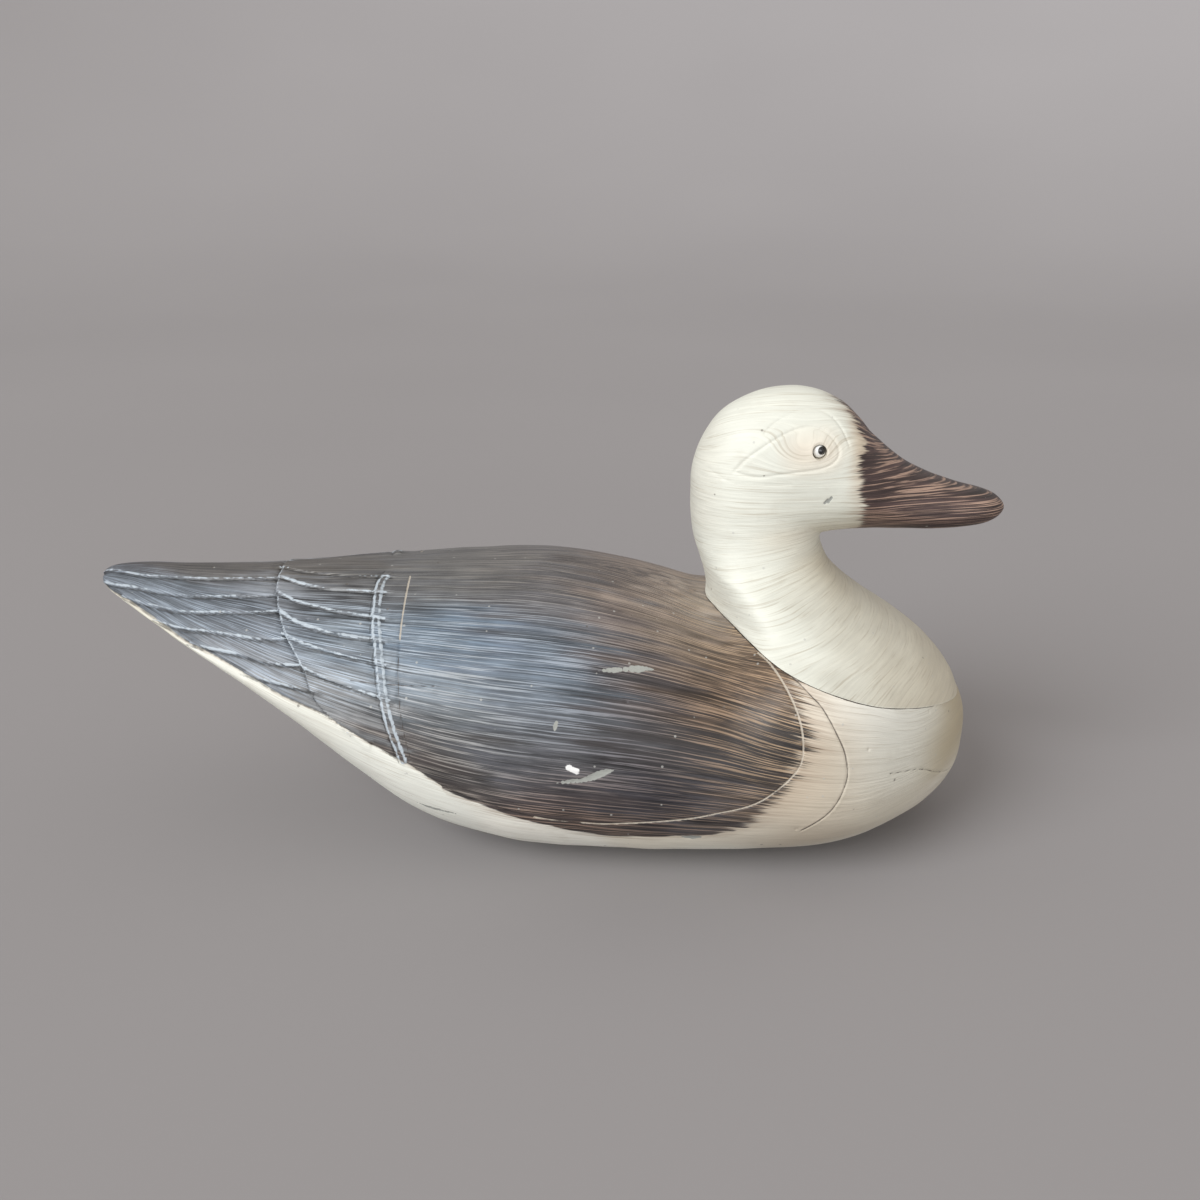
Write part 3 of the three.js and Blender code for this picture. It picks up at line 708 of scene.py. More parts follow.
class HeadCarving:
    def __init__(self, points):
        on_side = np.abs(points[:, 1]) > 9
        side = np.where(on_side, 0, 99)
        loop = EYE_GROOVE + EYE_GROOVE[:1]
        self.eye = plan_distance(points, loop, 9)[0] + side
        self.brow = plan_distance(points, BROW_GROOVE, 4)[0] + side
        self.nape = np.min([plan_distance(points, path, 3)[0] for path in NAPE_GROOVES], axis=0) + side
        right = np.where(points[:, 1] < 0, 0, 99)
        chips = [plan_distance(points, path, 3)[0] - half for path, half in HEAD_CHIPS]
        self.chip = np.min(chips, axis=0) + right
        from_eye = np.stack([points[:, 0], np.abs(points[:, 1]) + 1, points[:, 2]], 1)
        self.socket = np.linalg.norm(from_eye - (EYE_X, EYE_OUT, EYE_Z), axis=1)

    def nearest(self):
        return np.min([self.eye, self.brow, self.nape + 0.5, self.chip, np.abs(self.socket - 3)], axis=0)

    def relief(self, points):
        seat = from_seat(points)
        facing = smoothstep(125, 140, points[:, 2]) * smoothstep(132, 118, points[:, 0])
        height = 0.2 * wobble(points, 30, 21) + 0.08 * wobble(points, 12, 22)
        height -= 0.26 * hill(self.eye, 0.5) * facing
        height -= 0.28 * hill(self.brow, 0.5) + 0.16 * hill(self.nape, 0.6)
        height += 0.1 * hill(self.eye - 1.1, 0.6) * facing
        height += 0.25 * hill(self.socket - 3.6, 0.9) - 0.3 * hill(self.socket - 2.9, 0.4)
        height -= 0.3 * smoothstep(0.3, -0.2, self.chip)
        return height - 0.2 * hill(seat, 0.45)


def head_flow(points):
    """Stroke coordinates: strokes run round the neck, and along the head and the bill."""
    x, y, z = points.T
    along_head = z - 0.6 * np.abs(y) * smoothstep(148, 172, z)
    across_neck = z - 0.25 * (x - 60)
    up = smoothstep(108, 140, z)
    v = across_neck * (1 - up) + along_head * up
    over_eye = np.exp(-((x - 97) / 13) ** 2 - ((z - 160) / 9) ** 2) * (np.abs(y) > 8)
    return np.stack([x, v + 7 * over_eye, y * 0.15], 1)


def head_fields(points, normals):
    x, y, z = points.T
    carving = HeadCarving(points)
    eye = plan_distance(points, [(96, 158), (104, 158.5)], 12)[0]
    tint = 0.55 * np.clip(1.2 - eye / 9, 0, 1) * (np.abs(y) > 10)
    # Painted shade set by which way the surface faces: darker on the neck's forward face below the bill, and
    # a little darker on the rear-facing nape.
    front = smoothstep(0.05, 0.8, normals[:, 0]) * smoothstep(125, 112, z)
    nape = smoothstep(0.3, 0.9, -normals[:, 0]) * smoothstep(178, 160, z) * smoothstep(118, 132, z)
    cream = paint((224, 225, 214)) * np.ones((len(x), 1))
    for share, colour in (
        (tint, (222, 206, 186)), (0.8 * front, (196, 186, 164)), (0.3 * nape, (214, 208, 194)),
        (0.8 * smoothstep(112, 119, x) * smoothstep(126, 160, z), (206, 190, 166)),
        (0.5 * hill(z - 124 - 0.05 * (x - 70), 5) * smoothstep(72, 92, x), (214, 205, 186)),
    ):
        cream += share[:, None] * (paint(colour) - cream)
    tip = smoothstep(148, 178, x)
    # The dark paint is darker, with fewer pale strokes, on the upward faces of the head and bill: painted
    # shade set by which way the surface faces.
    ridge = smoothstep(0.55, 0.95, normals[:, 2])
    coat = paint((92, 72, 70)) * (1 - 0.2 * tip)[:, None]
    coat += ridge[:, None] * (paint((84, 74, 72)) - coat) * 0.6
    streak = paint((186, 156, 138)) * (1 - 0.25 * ridge)[:, None]
    empty = np.full(len(x), 99.0)
    return {
        "flow": head_flow(points),
        "coat": coat,
        "streak": streak,
        "cream": cream,
        "ahead": np.where(z < 115, 99, (lookup(BILL_FRONT, z) - x) * 2.2),
        "below": -empty,
        "scribe": empty,
        "crack": empty,
        "drybrush_highlight": empty,
        # Painted shade in the eye and brow grooves.
        "groove": np.minimum(np.minimum(carving.eye, carving.brow) + 0.6, 99),
        "chip": carving.chip,
        "spot": empty,
    }


def store(piece, fields):
    """Keeps each field on the piece's points, for its material to read."""
    for name, values in fields.items():
        kind, key = "FLOAT", "value"
        if values.ndim == 2 and name == "flow":
            kind, key = "FLOAT_VECTOR", "vector"
        elif values.ndim == 2:
            kind, key = "FLOAT_COLOR", "color"
            values = np.concatenate([values, np.ones((len(values), 1))], 1)
        layer = piece.data.attributes.new(name, kind, "POINT")
        layer.data.foreach_set(key, values.astype(np.float32).ravel())


# ---- Materials ----
class Shader:
    """A node material, with short calls for the nodes it is made of."""

    def __init__(self, name, **surface):
        self.material = bpy.data.materials.new(name)
        self.material.use_nodes = True
        self.tree = self.material.node_tree
        self.surface = self.tree.nodes["Principled BSDF"]
        for socket, value in surface.items():
            self.surface.inputs[socket.replace("_", " ")].default_value = value

    def node(self, kind, inputs, output=0, **settings):
        made = self.tree.nodes.new("ShaderNode" + kind)
        for key, value in settings.items():
            setattr(made, key, value)
        for key, value in inputs.items():
            if isinstance(value, bpy.types.NodeSocket):
                self.tree.links.new(value, made.inputs[key])
            else:
                made.inputs[key].default_value = value
        return made.outputs[output]

    def set(self, socket, value):
        self.tree.links.new(value, self.surface.inputs[socket])

    def field(self, name, output="Fac"):
        return self.node("Attribute", {}, output, attribute_name=name)

    def math(self, operation, a, b=0.0):
        return self.node("Math", {0: a, 1: b}, operation=operation)

    def sum(self, *terms):
        """The sum of (value, factor) terms."""
        total = 0.0
        for value, factor in terms:
            total = self.node("Math", {0: value, 1: factor, 2: total}, operation="MULTIPLY_ADD")
        return total

    def step(self, value, low, high, bottom=0.0, top=1.0):
        inputs = {"Value": value, "From Min": low, "From Max": high, "To Min": bottom, "To Max": top}
        return self.node("MapRange", inputs, interpolation_type="SMOOTHSTEP")

    def mix(self, share, a, b):
        a = (*a, 1) if isinstance(a, tuple) else a
        b = (*b, 1) if isinstance(b, tuple) else b
        return self.node("Mix", {0: share, 6: a, 7: b}, 2, data_type="RGBA")

    def scaled(self, colour, factor):
        return self.node("VectorMath", {0: colour, "Scale": factor}, operation="SCALE")

    def noise(self, place, scale, detail=3.0, offset=0.0):
        """Noise from 0 to 1, mostly from 0.3 to 0.7, its waves 1/scale long in each direction."""
        scale = (scale,) * 3 if isinstance(scale, (int, float)) else scale
        moved = self.node("VectorMath", {0: place, 1: scale, 2: (offset,) * 3}, operation="MULTIPLY_ADD")
        return self.node("TexNoise", {"Vector": moved, "Scale": 1.0, "Detail": detail, "Roughness": 0.55})

    def dots(self, place, per_metre, size, share, offset=0.0):
        """Small round dots scattered over the surface."""
        moved = self.node("VectorMath", {0: place, 1: (offset,) * 3}, operation="ADD")
        cell = {"Vector": moved, "Scale": per_metre}
        distance = self.node("TexVoronoi", cell, "Distance")
        kept = self.node("TexVoronoi", cell, "Color")
        kept = self.node("SeparateColor", {0: kept})
        inside = self.step(distance, size, size * 0.6)
        return self.math("MULTIPLY", inside, self.math("LESS_THAN", kept, share))

    def place(self):
        return self.node("TexCoord", {}, "Object")

    def bump(self, height, depth, strength=1.0):
        """Relief from a height of 0 to 1, depth metres deep."""
        return self.node("Bump", {"Height": height, "Distance": depth, "Strength": strength})


def painted_wood(name, gloss=0.46, rings=0.12):
    """Brushed paint on carved wood: streaked dark paint over cream, with pale drybrush and painted highlight
    along the raised carved edges and painted shade below them.
    The wood's growth rings stand out through it by the given share."""
    s = Shader(name)
    flow = s.field("flow", "Vector")
    place = s.place()
    fine = s.noise(flow, (0.032, 1.15, 0.4), 4)
    broad = s.noise(flow, (0.014, 0.17, 0.2), 3, 7.3)
    bristle = s.noise(flow, (0.09, 3.6, 1.0), 3, 3.1)
    patch = s.noise(place, 90, 4, 1.7)
    tone = s.sum((fine, 0.5), (broad, 0.28), (bristle, 0.22))
    tone = s.step(tone, 0.36, 0.66)
    coat = s.field("coat", "Color")
    coat = s.mix(tone, s.scaled(coat, 0.26), s.scaled(coat, 0.85))
    thin = s.noise(flow, (0.024, 1.5, 0.5), 4, 21.0)
    coat = s.mix(s.step(thin, 0.5, 0.62, 0, 0.9), coat, s.scaled(s.field("streak", "Color"), 0.88))
    dark_stroke = s.noise(flow, (0.02, 1.9, 0.4), 3, 40.0)
    coat = s.mix(s.step(dark_stroke, 0.56, 0.68, 0, 0.75), coat, s.scaled(coat, 0.35))
    coat = s.scaled(coat, s.step(patch, 0.3, 0.7, 0.86, 1.12))
    cream = s.field("cream", "Color")
    cream = s.scaled(cream, s.step(tone, 0, 1, 0.93, 1.03))
    faint = s.noise(flow, (0.03, 1.8, 0.4), 4, 60.0)
    cream = s.mix(s.step(faint, 0.53, 0.7, 0, 0.5), cream, (0.42, 0.37, 0.28))
    cream = s.mix(s.step(patch, 0.55, 0.75, 0, 0.18), cream, (0.5, 0.46, 0.38))
    ahead = s.sum((s.field("ahead"), 1.0), (fine, 24.0), (broad, 14.0), (bristle, 14.0), (1.0, -26.0))
    below = s.sum((s.field("below"), 1.0), (patch, 2.4), (broad, 3.0), (fine, 2.0), (1.0, -3.7))
    wash = s.math("MULTIPLY", s.step(ahead, 16.0, 0.0), s.step(thin, 0.38, 0.62, 0.06, 0.62))
    wash = s.math("MULTIPLY", wash, s.step(below, 4.5, 0.5))
    cream = s.mix(wash, cream, (0.36, 0.27, 0.2))
    pale = s.math("MAXIMUM", s.step(ahead, -2.5, 2.5), s.step(below, -0.45, 0.45))
    colour = s.mix(pale, coat, cream)
    broken = s.noise(place, 420, 3, 9.0)
    # Pale lines on the raised edges: partly drybrushed paint, partly painted highlight.
    broken_drybrush_highlight = s.sum((s.field("drybrush_highlight"), 1.0), (broken, 1.25))
    colour = s.mix(s.step(broken_drybrush_highlight, 1.55, 1.2, 0, 0.9), colour, (0.5, 0.565, 0.62))
    # Painted shade along those lines and in the head's grooves.
    groove_shade = s.sum((s.field("groove"), 1.0), (broken, 1.1))
    colour = s.mix(s.step(groove_shade, 1.05, 0.65, 0, 0.72), colour, s.scaled(colour, 0.16))
    scribe = s.sum((s.field("scribe"), 1.0), (broken, 0.45))
    colour = s.mix(s.step(scribe, 0.62, 0.42, 0, 0.75), colour, (0.6, 0.54, 0.45))
    crack = s.sum((s.field("crack"), 1.0), (broken, 0.3))
    colour = s.mix(s.step(crack, 0.44, 0.22, 0, 0.85), colour, (0.07, 0.055, 0.045))
    rough = s.noise(place, 700, 2, 5.0)
    chip = s.sum((s.field("chip"), 1.0), (patch, 1.1), (rough, 0.5))
    chip = s.step(chip, 1.1, 0.85)
    colour = s.mix(chip, colour, s.mix(patch, (0.27, 0.28, 0.26), (0.4, 0.41, 0.38)))
    spot = s.sum((s.field("spot"), 1.0), (rough, 1.2))
    colour = s.mix(s.step(spot, 1.9, 1.5), colour, (0.85, 0.85, 0.84))
    specks = s.dots(place, 170, 0.1, 0.45)
    # The pits sink in the bump, and their near-black colour is painted shade in them.
    pits = s.dots(place, 120, 0.085, 0.3, 0.37)
    colour = s.mix(s.math("MULTIPLY", specks, 0.55), colour, (0.5, 0.5, 0.47))
    colour = s.mix(s.math("MULTIPLY", pits, 0.6), colour, (0.12, 0.1, 0.085))
    s.set("Base Color", colour)
    rougher = s.sum((patch, 0.16), (tone, 0.1), (chip, 0.3), (pale, 0.03))
    s.set("Roughness", s.math("ADD", rougher, gloss - 0.12))
    across = s.node("SeparateXYZ", {0: flow}, 1)
    bend = s.noise(flow, (0.03, 0.06, 0.05), 3, 33.0)
    growth = s.math("SINE", s.sum((across, 2.6), (bend, 26.0)))
    growth = s.math("MULTIPLY", growth, s.step(s.noise(flow, (0.02, 0.09, 0.1), 2, 50.0), 0.42, 0.62))
    height = s.sum((bristle, 0.4), (fine, 0.4), (patch, 0.5), (specks, 0.15), (pits, -0.6), (growth, rings))
    s.set("Normal", s.bump(height, 0.00035, 0.7))
    return s.material


def bare_wood(name, colour, darker):
    """End-sawn and gouged pine: growth rings along X with pores and tool marks."""
    s = Shader(name)
    place = s.place()
    rings = s.noise(place, (14, 160, 160), 3)
    fibre = s.noise(place, (60, 1500, 1500), 3, 2.0)
    grain = s.step(s.sum((rings, 0.7), (fibre, 0.3)), 0.38, 0.62)
    s.set("Base Color", s.mix(grain, paint(colour).tolist() + [1], paint(darker).tolist() + [1]))
    s.set("Roughness", s.step(fibre, 0.3, 0.7, 0.62, 0.85))
    s.set("Normal", s.bump(s.sum((rings, 0.5), (fibre, 0.5)), 0.0004, 0.6))
    return s.material


def metal(name, colour, tarnish, roughness, scale=600):
    """Aged metal: a clean base with darker, rougher tarnish in patches and fine scratches."""
    s = Shader(name, Metallic=1.0)
    place = s.place()
    cloud = s.noise(place, scale * 0.4, 4)
    scratch = s.noise(place, (scale * 6, scale * 0.6, scale * 6), 2, 4.0)
    dull = s.step(cloud, 0.42, 0.62)
    s.set("Base Color", s.mix(dull, paint(colour).tolist() + [1], paint(tarnish).tolist() + [1]))
    s.set("Roughness", s.sum((dull, 0.2), (scratch, 0.2), (1.0, roughness - 0.1)))
    s.set("Normal", s.bump(s.sum((cloud, 0.6), (scratch, 0.4)), 0.00012, 0.5))
    return s.material


def eye_glass(name):
    """A pale glass eye with a round black pupil, and painted shadow of the socket's edge along the rear of
    its rim.
    """
    s = Shader(name, Roughness=0.12, Coat_Weight=1.0, Coat_Roughness=0.04)
    pupil = s.field("pupil")
    rim = s.field("rim")
    ring = s.noise(s.place(), 2500, 3)
    iris = s.mix(ring, (0.82, 0.82, 0.8), (0.9, 0.9, 0.88))
    colour = s.mix(s.step(pupil, 1.6, 1.5), iris, (0.006, 0.006, 0.007))
    # Painted shadow of the socket's rear edge on the lens.
    s.set("Base Color", s.mix(s.step(rim, 0.35, 0.1), colour, (0.05, 0.04, 0.035)))
    return s.material


# ---- Pieces ----
PAINTED_GAP = 0.01  # the glued parting line, which the paint bridges
SEAT_GAP = 0.04  # the joint under the neck, open as a hairline
CAVITY_REAR, CAVITY_FRONT, CAVITY_FLOOR, UNDER_SEAT, WALL = -72.0, 104.0, 22.0, 22.0, 16.0
DOWEL_RADIUS, DOWEL_LOW, DOWEL_HIGH = 3.0, 27.0, 45.0
DOWEL_PLACES = [(-30, 56.5), (-30, -56.5), (128, 24), (128, -24)]
LAG_X, LAG_FACE, LAG_RADIUS, LAG_TOP, WASHER = 95.0, 66.0, 3.0, 128.0, 10.0
NECK_DOWEL_X, NECK_DOWEL_RADIUS, NECK_DOWEL_LOW, NECK_DOWEL_HIGH = 122.0, 5.0, 62.0, 92.0
BALLAST_LOW, BALLAST_HIGH = (16, -13, 0.3), (102, 13, 8.3)
BALLAST_SCREWS = {"ballast_screw_rear": 30.0, "ballast_screw_front": 88.0}
SCREW_PROFILE = [(4, 0.8), (4, 1.2), (2, 3.8), (2, 15), (0.15, 18)]
TIE_X, TIE_EYE_Z, TIE_EYE_RADIUS, TIE_WIRE, TIE_SHANK, TIE_TOP = 143.0, 6.0, 3.2, 0.9, 1.5, 26.0
RING_RADIUS, RING_TILT = 7.0, 15.3
TIE_PIVOT_Z = TIE_EYE_Z - TIE_EYE_RADIUS + 2 * TIE_WIRE + 0.1
PUPIL_AHEAD, PUPIL_UP = 0.85, 0.5
EYE_PROFILE = [
    (0.6, -1.6), (1.9, -1.6), (2.3, -1.3), (2.48, -0.8), (2.5, -0.3), (2.4, 0.2), (2.18, 0.62), (1.85, 0.95),
    (1.4, 1.25), (0.95, 1.45), (0.45, 1.57), (0.1, 1.6),
]


def finished(piece, body, slot, *nodes, material=None, sharp=38):
    """Turns the piece from mm to metres, shades it, hangs it under its body and hides the CAD parts it stands
    in for.
    """
    if material:
        only_material(piece.data, material)
    piece.data.transform(Matrix.Scale(MM, 4))
    piece.data.shade_smooth()
    piece.data.set_sharp_from_angle(angle=math.radians(sharp))
    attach(piece, body)
    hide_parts(*nodes)
    return piece


def body_place(u, v):
    return body_point(TAIL_X + (BREAST_X - TAIL_X) * (1 - np.cos(np.pi * u)) / 2, 360 * v - 90)


def body_form(name, columns, rows, finest):
    def carved(points):
        normals = points - np.stack([points[:, 0], points[:, 1] * 0, widest_height(points[:, 0])], 1)
        normals /= np.maximum(np.linalg.norm(normals, axis=1), 0.01)[:, None]
        return Carving(points, normals, 4).nearest()

    piece = mesh_object(name, *refined_grid(columns, rows, body_place, carved, finest))
    displace(piece, lambda points, normals: Carving(points, normals).relief(points))
    return piece


def cavity():
    """The hollow inside the body, WALL thick all round where the body is deep enough."""
    rings = []
    turn = np.linspace(0, 360, 64, endpoint=False)
    for share in np.linspace(0, 1, 41)[1:-1]:
        x = CAVITY_REAR + (CAVITY_FRONT - CAVITY_REAR) * (1 - math.cos(math.pi * share)) / 2
        outer = body_point(x, turn)
        middle = widest_height(x)
        away = outer - (x, 0, middle)
        rise, drop = back_line(x) - middle, middle - keel_line(x)
        shrink_y = max(half_width(x) - WALL, 1) / half_width(x)
        shrink_z = np.where(away[:, 2] > 0, max(rise - WALL, 1) / rise, max(drop - WALL, 1) / drop)
        end = math.sin(math.pi * share) ** 0.5
        y, z = away[:, 1] * shrink_y * end, away[:, 2] * shrink_z * end + middle
        rings.append(np.stack([away[:, 0] + x, y, z], 1))
    hollow = lofted("cavity", rings)
    cut(hollow, [block((-200, -200, -50), (200, 200, CAVITY_FLOOR)), above_seat(-UNDER_SEAT)], None)
    return hollow


def dowel_holes():
    return [bar(DOWEL_RADIUS + GAP, DOWEL_LOW - GAP, DOWEL_HIGH + GAP, x, y) for x, y in DOWEL_PLACES]


def neck_holes():
    return [
        bar(LAG_RADIUS + 0.5, LAG_FACE - 10, LAG_TOP + 1, LAG_X, 0),
        bar(NECK_DOWEL_RADIUS + GAP, NECK_DOWEL_LOW - GAP, NECK_DOWEL_HIGH + GAP, NECK_DOWEL_X, 0),
    ]


def build_body(back, belly, wood, seam_glue_and_shade):
    whole = body_form("carved_body", 240, 180, 0.75)
    whole.data.materials.append(back)
    lower = add_object("belly_shell", whole.data.copy())
    only_material(lower.data, belly)
    whole.name = "back_shell"
    cut(whole, [above_seat(-SEAT_GAP)], seam_glue_and_shade)
    cut(whole, [slab(-50, PARTING_Z + PAINTED_GAP), cavity()], wood)
    cut(whole, neck_holes() + dowel_holes(), wood)
    cut(whole, [bar(WASHER + 2, LAG_FACE - 14, LAG_FACE, LAG_X, 0)], wood)
    cut(lower, [slab(-50, 0)], belly)
    cut(lower, [slab(PARTING_Z - PAINTED_GAP, 300), cavity()], wood)
    low, high = np.array(BALLAST_LOW) - GAP, np.array(BALLAST_HIGH) + GAP
    screw = [(r + GAP, z) for r, z in SCREW_PROFILE[2:]]
    cup = TIE_EYE_RADIUS + TIE_WIRE + 0.5
    holes = [block(low - (0, 0, 2), high)] + dowel_holes()
    holes += [turned("cutter", screw, (x, 0, 0)) for x in BALLAST_SCREWS.values()]
    holes += [bar(TIE_SHANK + GAP, -2, TIE_TOP + GAP, TIE_X, 0), bar(cup, -2, TIE_EYE_Z + cup, TIE_X, 0)]
    cut(lower, holes, wood)
    for piece, node, slot in ((whole, "body_upper", "back_paint"), (lower, "body_lower", "belly_paint")):
        store(piece, body_fields(*coordinates_and_normals(piece.data)))
        finished(piece, "decoy", slot, node)


def head_place(u, v):
    """The head block's form over the unit square: its seat face first, then up the neck to the bill."""
    face = 0.03
    s = np.maximum(u - face, 0) / (1 - face) * (len(HEAD_SECTIONS) - 1)
    middle = (head_point(0.0, 0.0) + head_point(0.0, np.pi)) / 2
    return middle + (head_point(s, -2 * np.pi * (v % 1)) - middle) * np.clip(u / face, 0, 1)[:, None]


def build_head(paint_material, wood, seam_glue_and_shade):
    def carved(points):
        return HeadCarving(points).nearest()

    piece = mesh_object("head_and_bill", *refined_grid(230, 180, head_place, carved, 0.5))
    displace(piece, lambda points, normals: HeadCarving(points).relief(points))
    piece.data.materials.append(paint_material)
    cut(piece, [above_seat(SEAT_GAP)], seam_glue_and_shade, "INTERSECT")
    cut(piece, neck_holes(), wood)
    for side in (-1, 1):
        back = EYE_OUT - EYE_RECESS
        for radius, low, high, inside in (
            (EYE_RADIUS + GAP, back, EYE_OUT + 6, paint_material),
            (EYE_STEM_HOLE, back - EYE_STEM_DEPTH, back + 1, wood),
        ):
            hole = [(radius, side * low), (radius, side * high)]
            cut(piece, [turned("cutter", hole, (EYE_X, 0, EYE_Z), "Y")], inside)
    store(piece, head_fields(*coordinates_and_normals(piece.data)))
    finished(piece, "decoy", "head_paint", "head_neck")


def build_eye(node, side, material):
    """A domed glass lens, its pupil set forward and up of the middle as the maker painted it."""
    centre = side * (EYE_OUT - 1.2)
    profile = [(r, side * h) for r, h in EYE_PROFILE]
    rings = []
    for (r0, h0), (r1, h1) in zip(profile[:-1], profile[1:]):
        rings += [(r0 + (r1 - r0) * t, h0 + (h1 - h0) * t) for t in (0, 0.25, 0.5, 0.75)]
    lens = turned("glass_" + node, rings + [profile[-1]], (EYE_X, centre, EYE_Z), "Y", 72)
    points, _ = coordinates_and_normals(lens.data)
    x, z = points[:, 0] - EYE_X, points[:, 2] - EYE_Z
    rear = smoothstep(0.2, -0.8, x / EYE_RADIUS)
    store(lens, {
        "pupil": np.hypot(x - PUPIL_AHEAD, z - PUPIL_UP),
        # Where the painted shadow of the socket's edge lies: the rear of the lens.
        "rim": (EYE_RADIUS - np.hypot(x, z)) + 0.5 * (1 - rear),
    })
    finished(lens, "decoy", "eye_glass", node, material=material)


def build_line_tie(material):
    """Screw eye and ring for the anchor line, both of round brass wire."""
    loop = torus("screw_eye", TIE_EYE_RADIUS, TIE_WIRE, (TIE_X, 0, TIE_EYE_Z), None, 72)
    z0 = TIE_EYE_Z + TIE_EYE_RADIUS
    shank = [(0.9, z0 - 0.3), (1.15, z0 + 0.7), (1.3, z0 + 1.5), (TIE_SHANK, z0 + 2.2)]
    turns = np.arange(z0 + 3, TIE_TOP - 3, 0.35)
    shank += [(TIE_SHANK - 0.22 * (i % 3 == 1), z) for i, z in enumerate(turns)]
    shank += [(1.2, TIE_TOP - 2), (0.1, TIE_TOP)]
    stem = turned("stem", shank, (TIE_X, 0, 0), sides=32)
    cut(loop, [stem], None, "UNION")
    finished(loop, "decoy", "brass", "line_tie_eye", material=material)
    place = (TIE_X, 0, TIE_PIVOT_Z)
    ring = torus("line_ring", RING_RADIUS, TIE_WIRE, place, RING_TILT)
    finished(ring, "line_ring", "brass", "line_tie_ring", material=material)


def build_ballast(lead, steel):
    """Cast lead bar with soft edges and an uneven skin, and two slotted countersunk screws."""
    bar_ = block(BALLAST_LOW, BALLAST_HIGH, "cast_ballast")
    edges = bmesh.new()
    edges.from_mesh(bar_.data)
    bmesh.ops.dissolve_limit(edges, angle_limit=0.01, verts=edges.verts, edges=edges.edges)
    bmesh.ops.bevel(edges, geom=edges.edges, offset=0.9, segments=3, profile=0.5, affect="EDGES")
    bmesh.ops.triangulate(edges, faces=edges.faces)
    for _ in range(5):
        long = [e for e in edges.edges if e.calc_length() > 3]
        bmesh.ops.subdivide_edges(edges, edges=long, cuts=1)
        bmesh.ops.triangulate(edges, faces=edges.faces)
    edges.to_mesh(bar_.data)
    edges.free()
    displace(bar_, lambda points, normals: 0.1 * wobble(points, 9, 31) - 0.12)
    for x in BALLAST_SCREWS.values():
        hole = [(SCREW_PROFILE[0][0] + 0.3, -1)] + [(r + 0.3, z) for r, z in SCREW_PROFILE[1:4]]
        cut(bar_, [turned("cutter", hole, (x, 0, 0))], None)
    finished(bar_, "decoy", "lead", "ballast_weight", material=lead)
    for node, x in BALLAST_SCREWS.items():
        threads = np.arange(5, 15, 0.4)
        profile = SCREW_PROFILE[:3] + [(2 - 0.3 * (i % 3 == 1), z) for i, z in enumerate(threads)]
        screw = turned("slotted_" + node, profile + SCREW_PROFILE[3:], (x, 0, 0))
        cut(screw, [block((x - 5, -0.45, 0.5), (x + 5, 0.45, 1.9))], None)
        finished(screw, "decoy", "steel", node, material=steel)


def build_hardware(wood, steel):
    """Dowels with eased ends, and the lag screw and washer inside the hollow."""
    def dowel(name, node, radius, low, high, edge, ease, centre):
        ends = [(radius - edge, low), (radius, low + ease), (radius, high - ease), (radius - edge, high)]
        finished(turned(name, ends, centre), "decoy", "dowel_wood", node, material=wood)

    for i, (x, y) in enumerate(DOWEL_PLACES, 1):
        dowel(f"pin_{i}", f"body_dowel_{i}", DOWEL_RADIUS, DOWEL_LOW, DOWEL_HIGH, 0.8, 0.9, (x, y, 0))
    size = (NECK_DOWEL_RADIUS, NECK_DOWEL_LOW, NECK_DOWEL_HIGH)
    dowel("neck_pin", "neck_dowel", *size, 1, 1.2, (NECK_DOWEL_X, 0, 0))
    for node in ("neck_washer", "neck_lag_screw", "eye_wire_right", "eye_wire_left"):
        only_material(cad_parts[node].data, steel)


# ---- Camera, light and floor ----
CAMERA_PLACE, CAMERA_PITCH = (0.0204, -0.4792, 0.2658), 19.961  # metres, and degrees looking down
CAMERA_LENS, CAMERA_SENSOR = 37.5, 36


def build_camera():
    camera = bpy.data.cameras.new("camera")
    camera.lens, camera.sensor_width = CAMERA_LENS, CAMERA_SENSOR
    camera.clip_start, camera.clip_end = 0.01, 50
    holder = add_object("camera", camera)
    holder.location = CAMERA_PLACE
    holder.rotation_euler = (math.radians(90 - CAMERA_PITCH), 0, 0)
    bpy.context.scene.camera = holder


def sun_light(name, towards, strength, spread, colour):
    """Soft light from one side: its source looks spread degrees wide."""
    light = bpy.data.lights.new(name, "SUN")
    light.energy, light.angle, light.color = strength, math.radians(spread), colour
    add_object(name, light).rotation_euler = Vector(towards).to_track_quat("Z", "Y").to_euler()


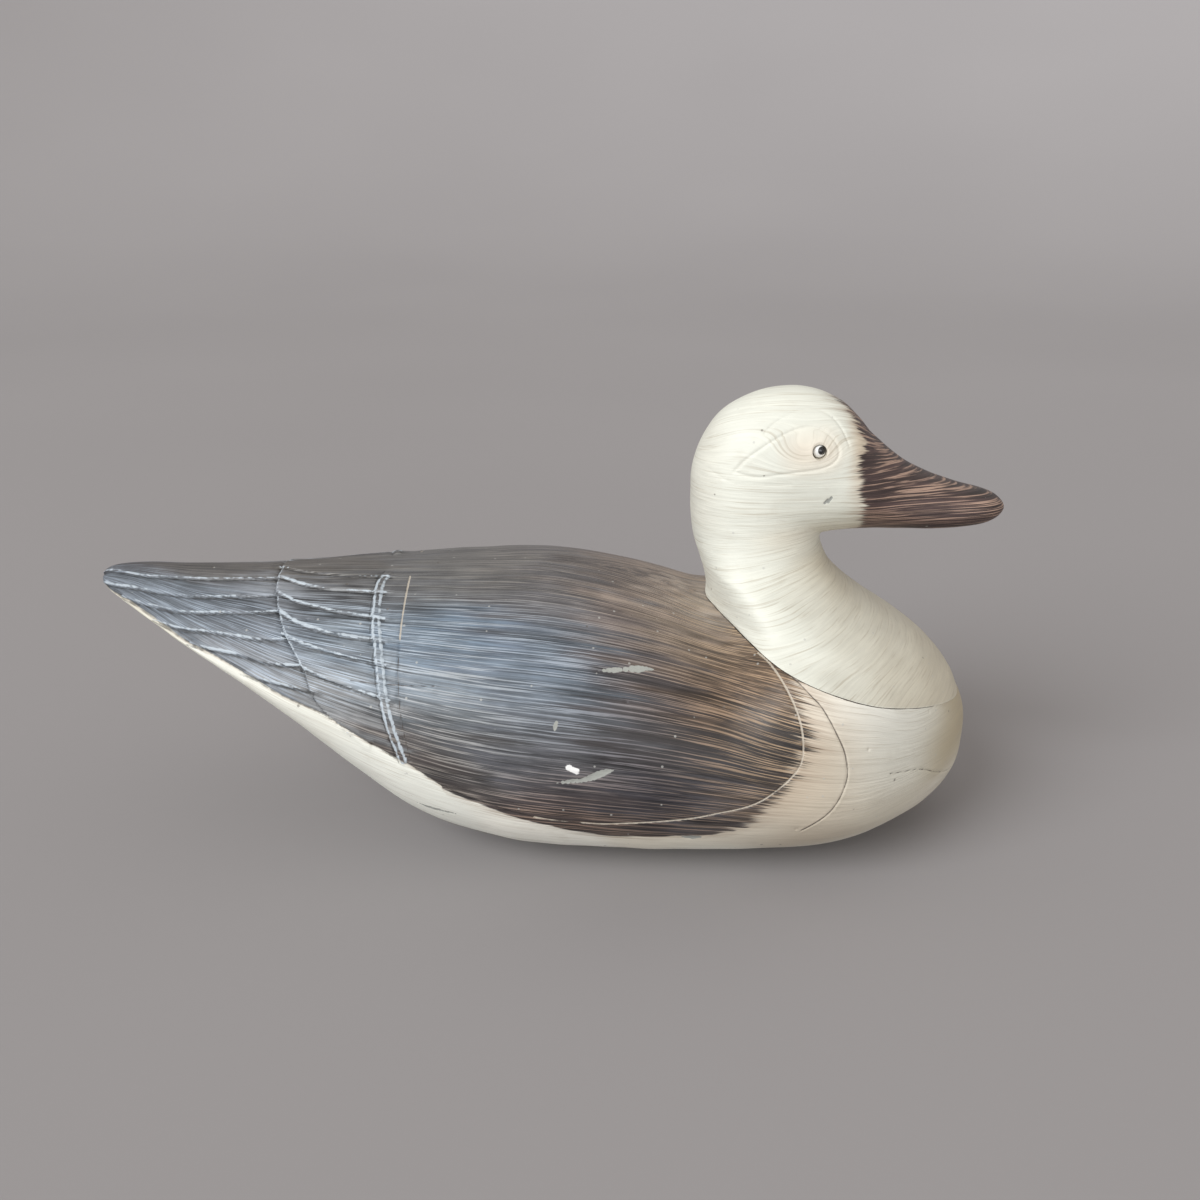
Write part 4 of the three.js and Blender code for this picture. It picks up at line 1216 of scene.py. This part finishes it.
def build_stage():
    """A wide floor that curves up into a low wall far behind, and soft light."""
    radii = [
        (0.02, 0), (0.6, 0), (1.6, 0), (2.0, 0.02), (2.4, 0.1), (2.8, 0.26), (3.2, 0.52), (3.5, 0.84),
        (3.7, 1.3), (3.8, 1.9),
    ]
    sides = 96
    points, faces = [], []
    for i, (radius, height) in enumerate(radii):
        for j in range(sides):
            turn = 2 * math.pi * j / sides
            behind = min(max(2 * math.sin(turn), 0), 1)
            points.append((radius * math.cos(turn), radius * math.sin(turn), height * behind))
            if i:
                a, b = (i - 1) * sides + j, (i - 1) * sides + (j + 1) % sides
                faces.append((a, b, b + sides, a + sides))
    faces.append(tuple(range(sides)))
    mesh = bpy.data.meshes.new("floor")
    mesh.from_pydata(points, [], faces)
    mesh.shade_smooth()
    floor = add_object("floor", mesh)
    s = Shader("floor_cloth", Roughness=0.9)
    cloud = s.noise(s.place(), 1.1, 2)
    s.set("Base Color", s.mix(cloud, (0.285, 0.272, 0.275), (0.33, 0.315, 0.318)))
    mesh.materials.append(s.material)
    world = bpy.data.worlds.new("studio")
    world.use_nodes = True
    sky = world.node_tree.nodes["Background"].inputs
    sky["Color"].default_value = (1.0, 0.95, 0.9, 1)
    sky["Strength"].default_value = 0.62
    bpy.context.scene.world = world
    bpy.context.scene.view_settings.view_transform = "Standard"
    sun_light("window", (-1.0, -0.95, 0.9), 2.2, 36, (0.95, 0.975, 1.0))
    sun_light("room", (0.15, -1.0, 0.14), 0.9, 50, (0.98, 0.99, 1.0))


# ---- Everything ----
back_paint = painted_wood("back_paint", 0.42)
belly_paint = painted_wood("belly_paint", 0.5)
head_paint = painted_wood("head_paint", 0.48, 0.1)
bare_pine = bare_wood("bare_pine", (196, 160, 116), (158, 118, 76))
# Dark on the neck seat's cut faces: partly old glue in the joint, partly painted shade in its open hairline.
glue_and_seam_shade = bare_wood("glue_and_seam_shade", (74, 58, 44), (44, 34, 26))
dowel_wood = bare_wood("dowel_wood", (206, 172, 126), (172, 132, 88))
steel = metal("steel", (168, 168, 165), (92, 84, 78), 0.36)
lead = metal("lead", (112, 116, 122), (70, 72, 76), 0.55, 300)
brass = metal("brass", (176, 142, 78), (96, 74, 44), 0.34)
glass = eye_glass("eye_glass")

build_camera()
build_stage()
build_body(back_paint, belly_paint, bare_pine, glue_and_seam_shade)
build_head(head_paint, bare_pine, glue_and_seam_shade)
for word, side in (("right", -1), ("left", 1)):
    build_eye("eye_" + word, side, glass)
build_line_tie(brass)
build_ballast(lead, steel)
build_hardware(dowel_wood, steel)
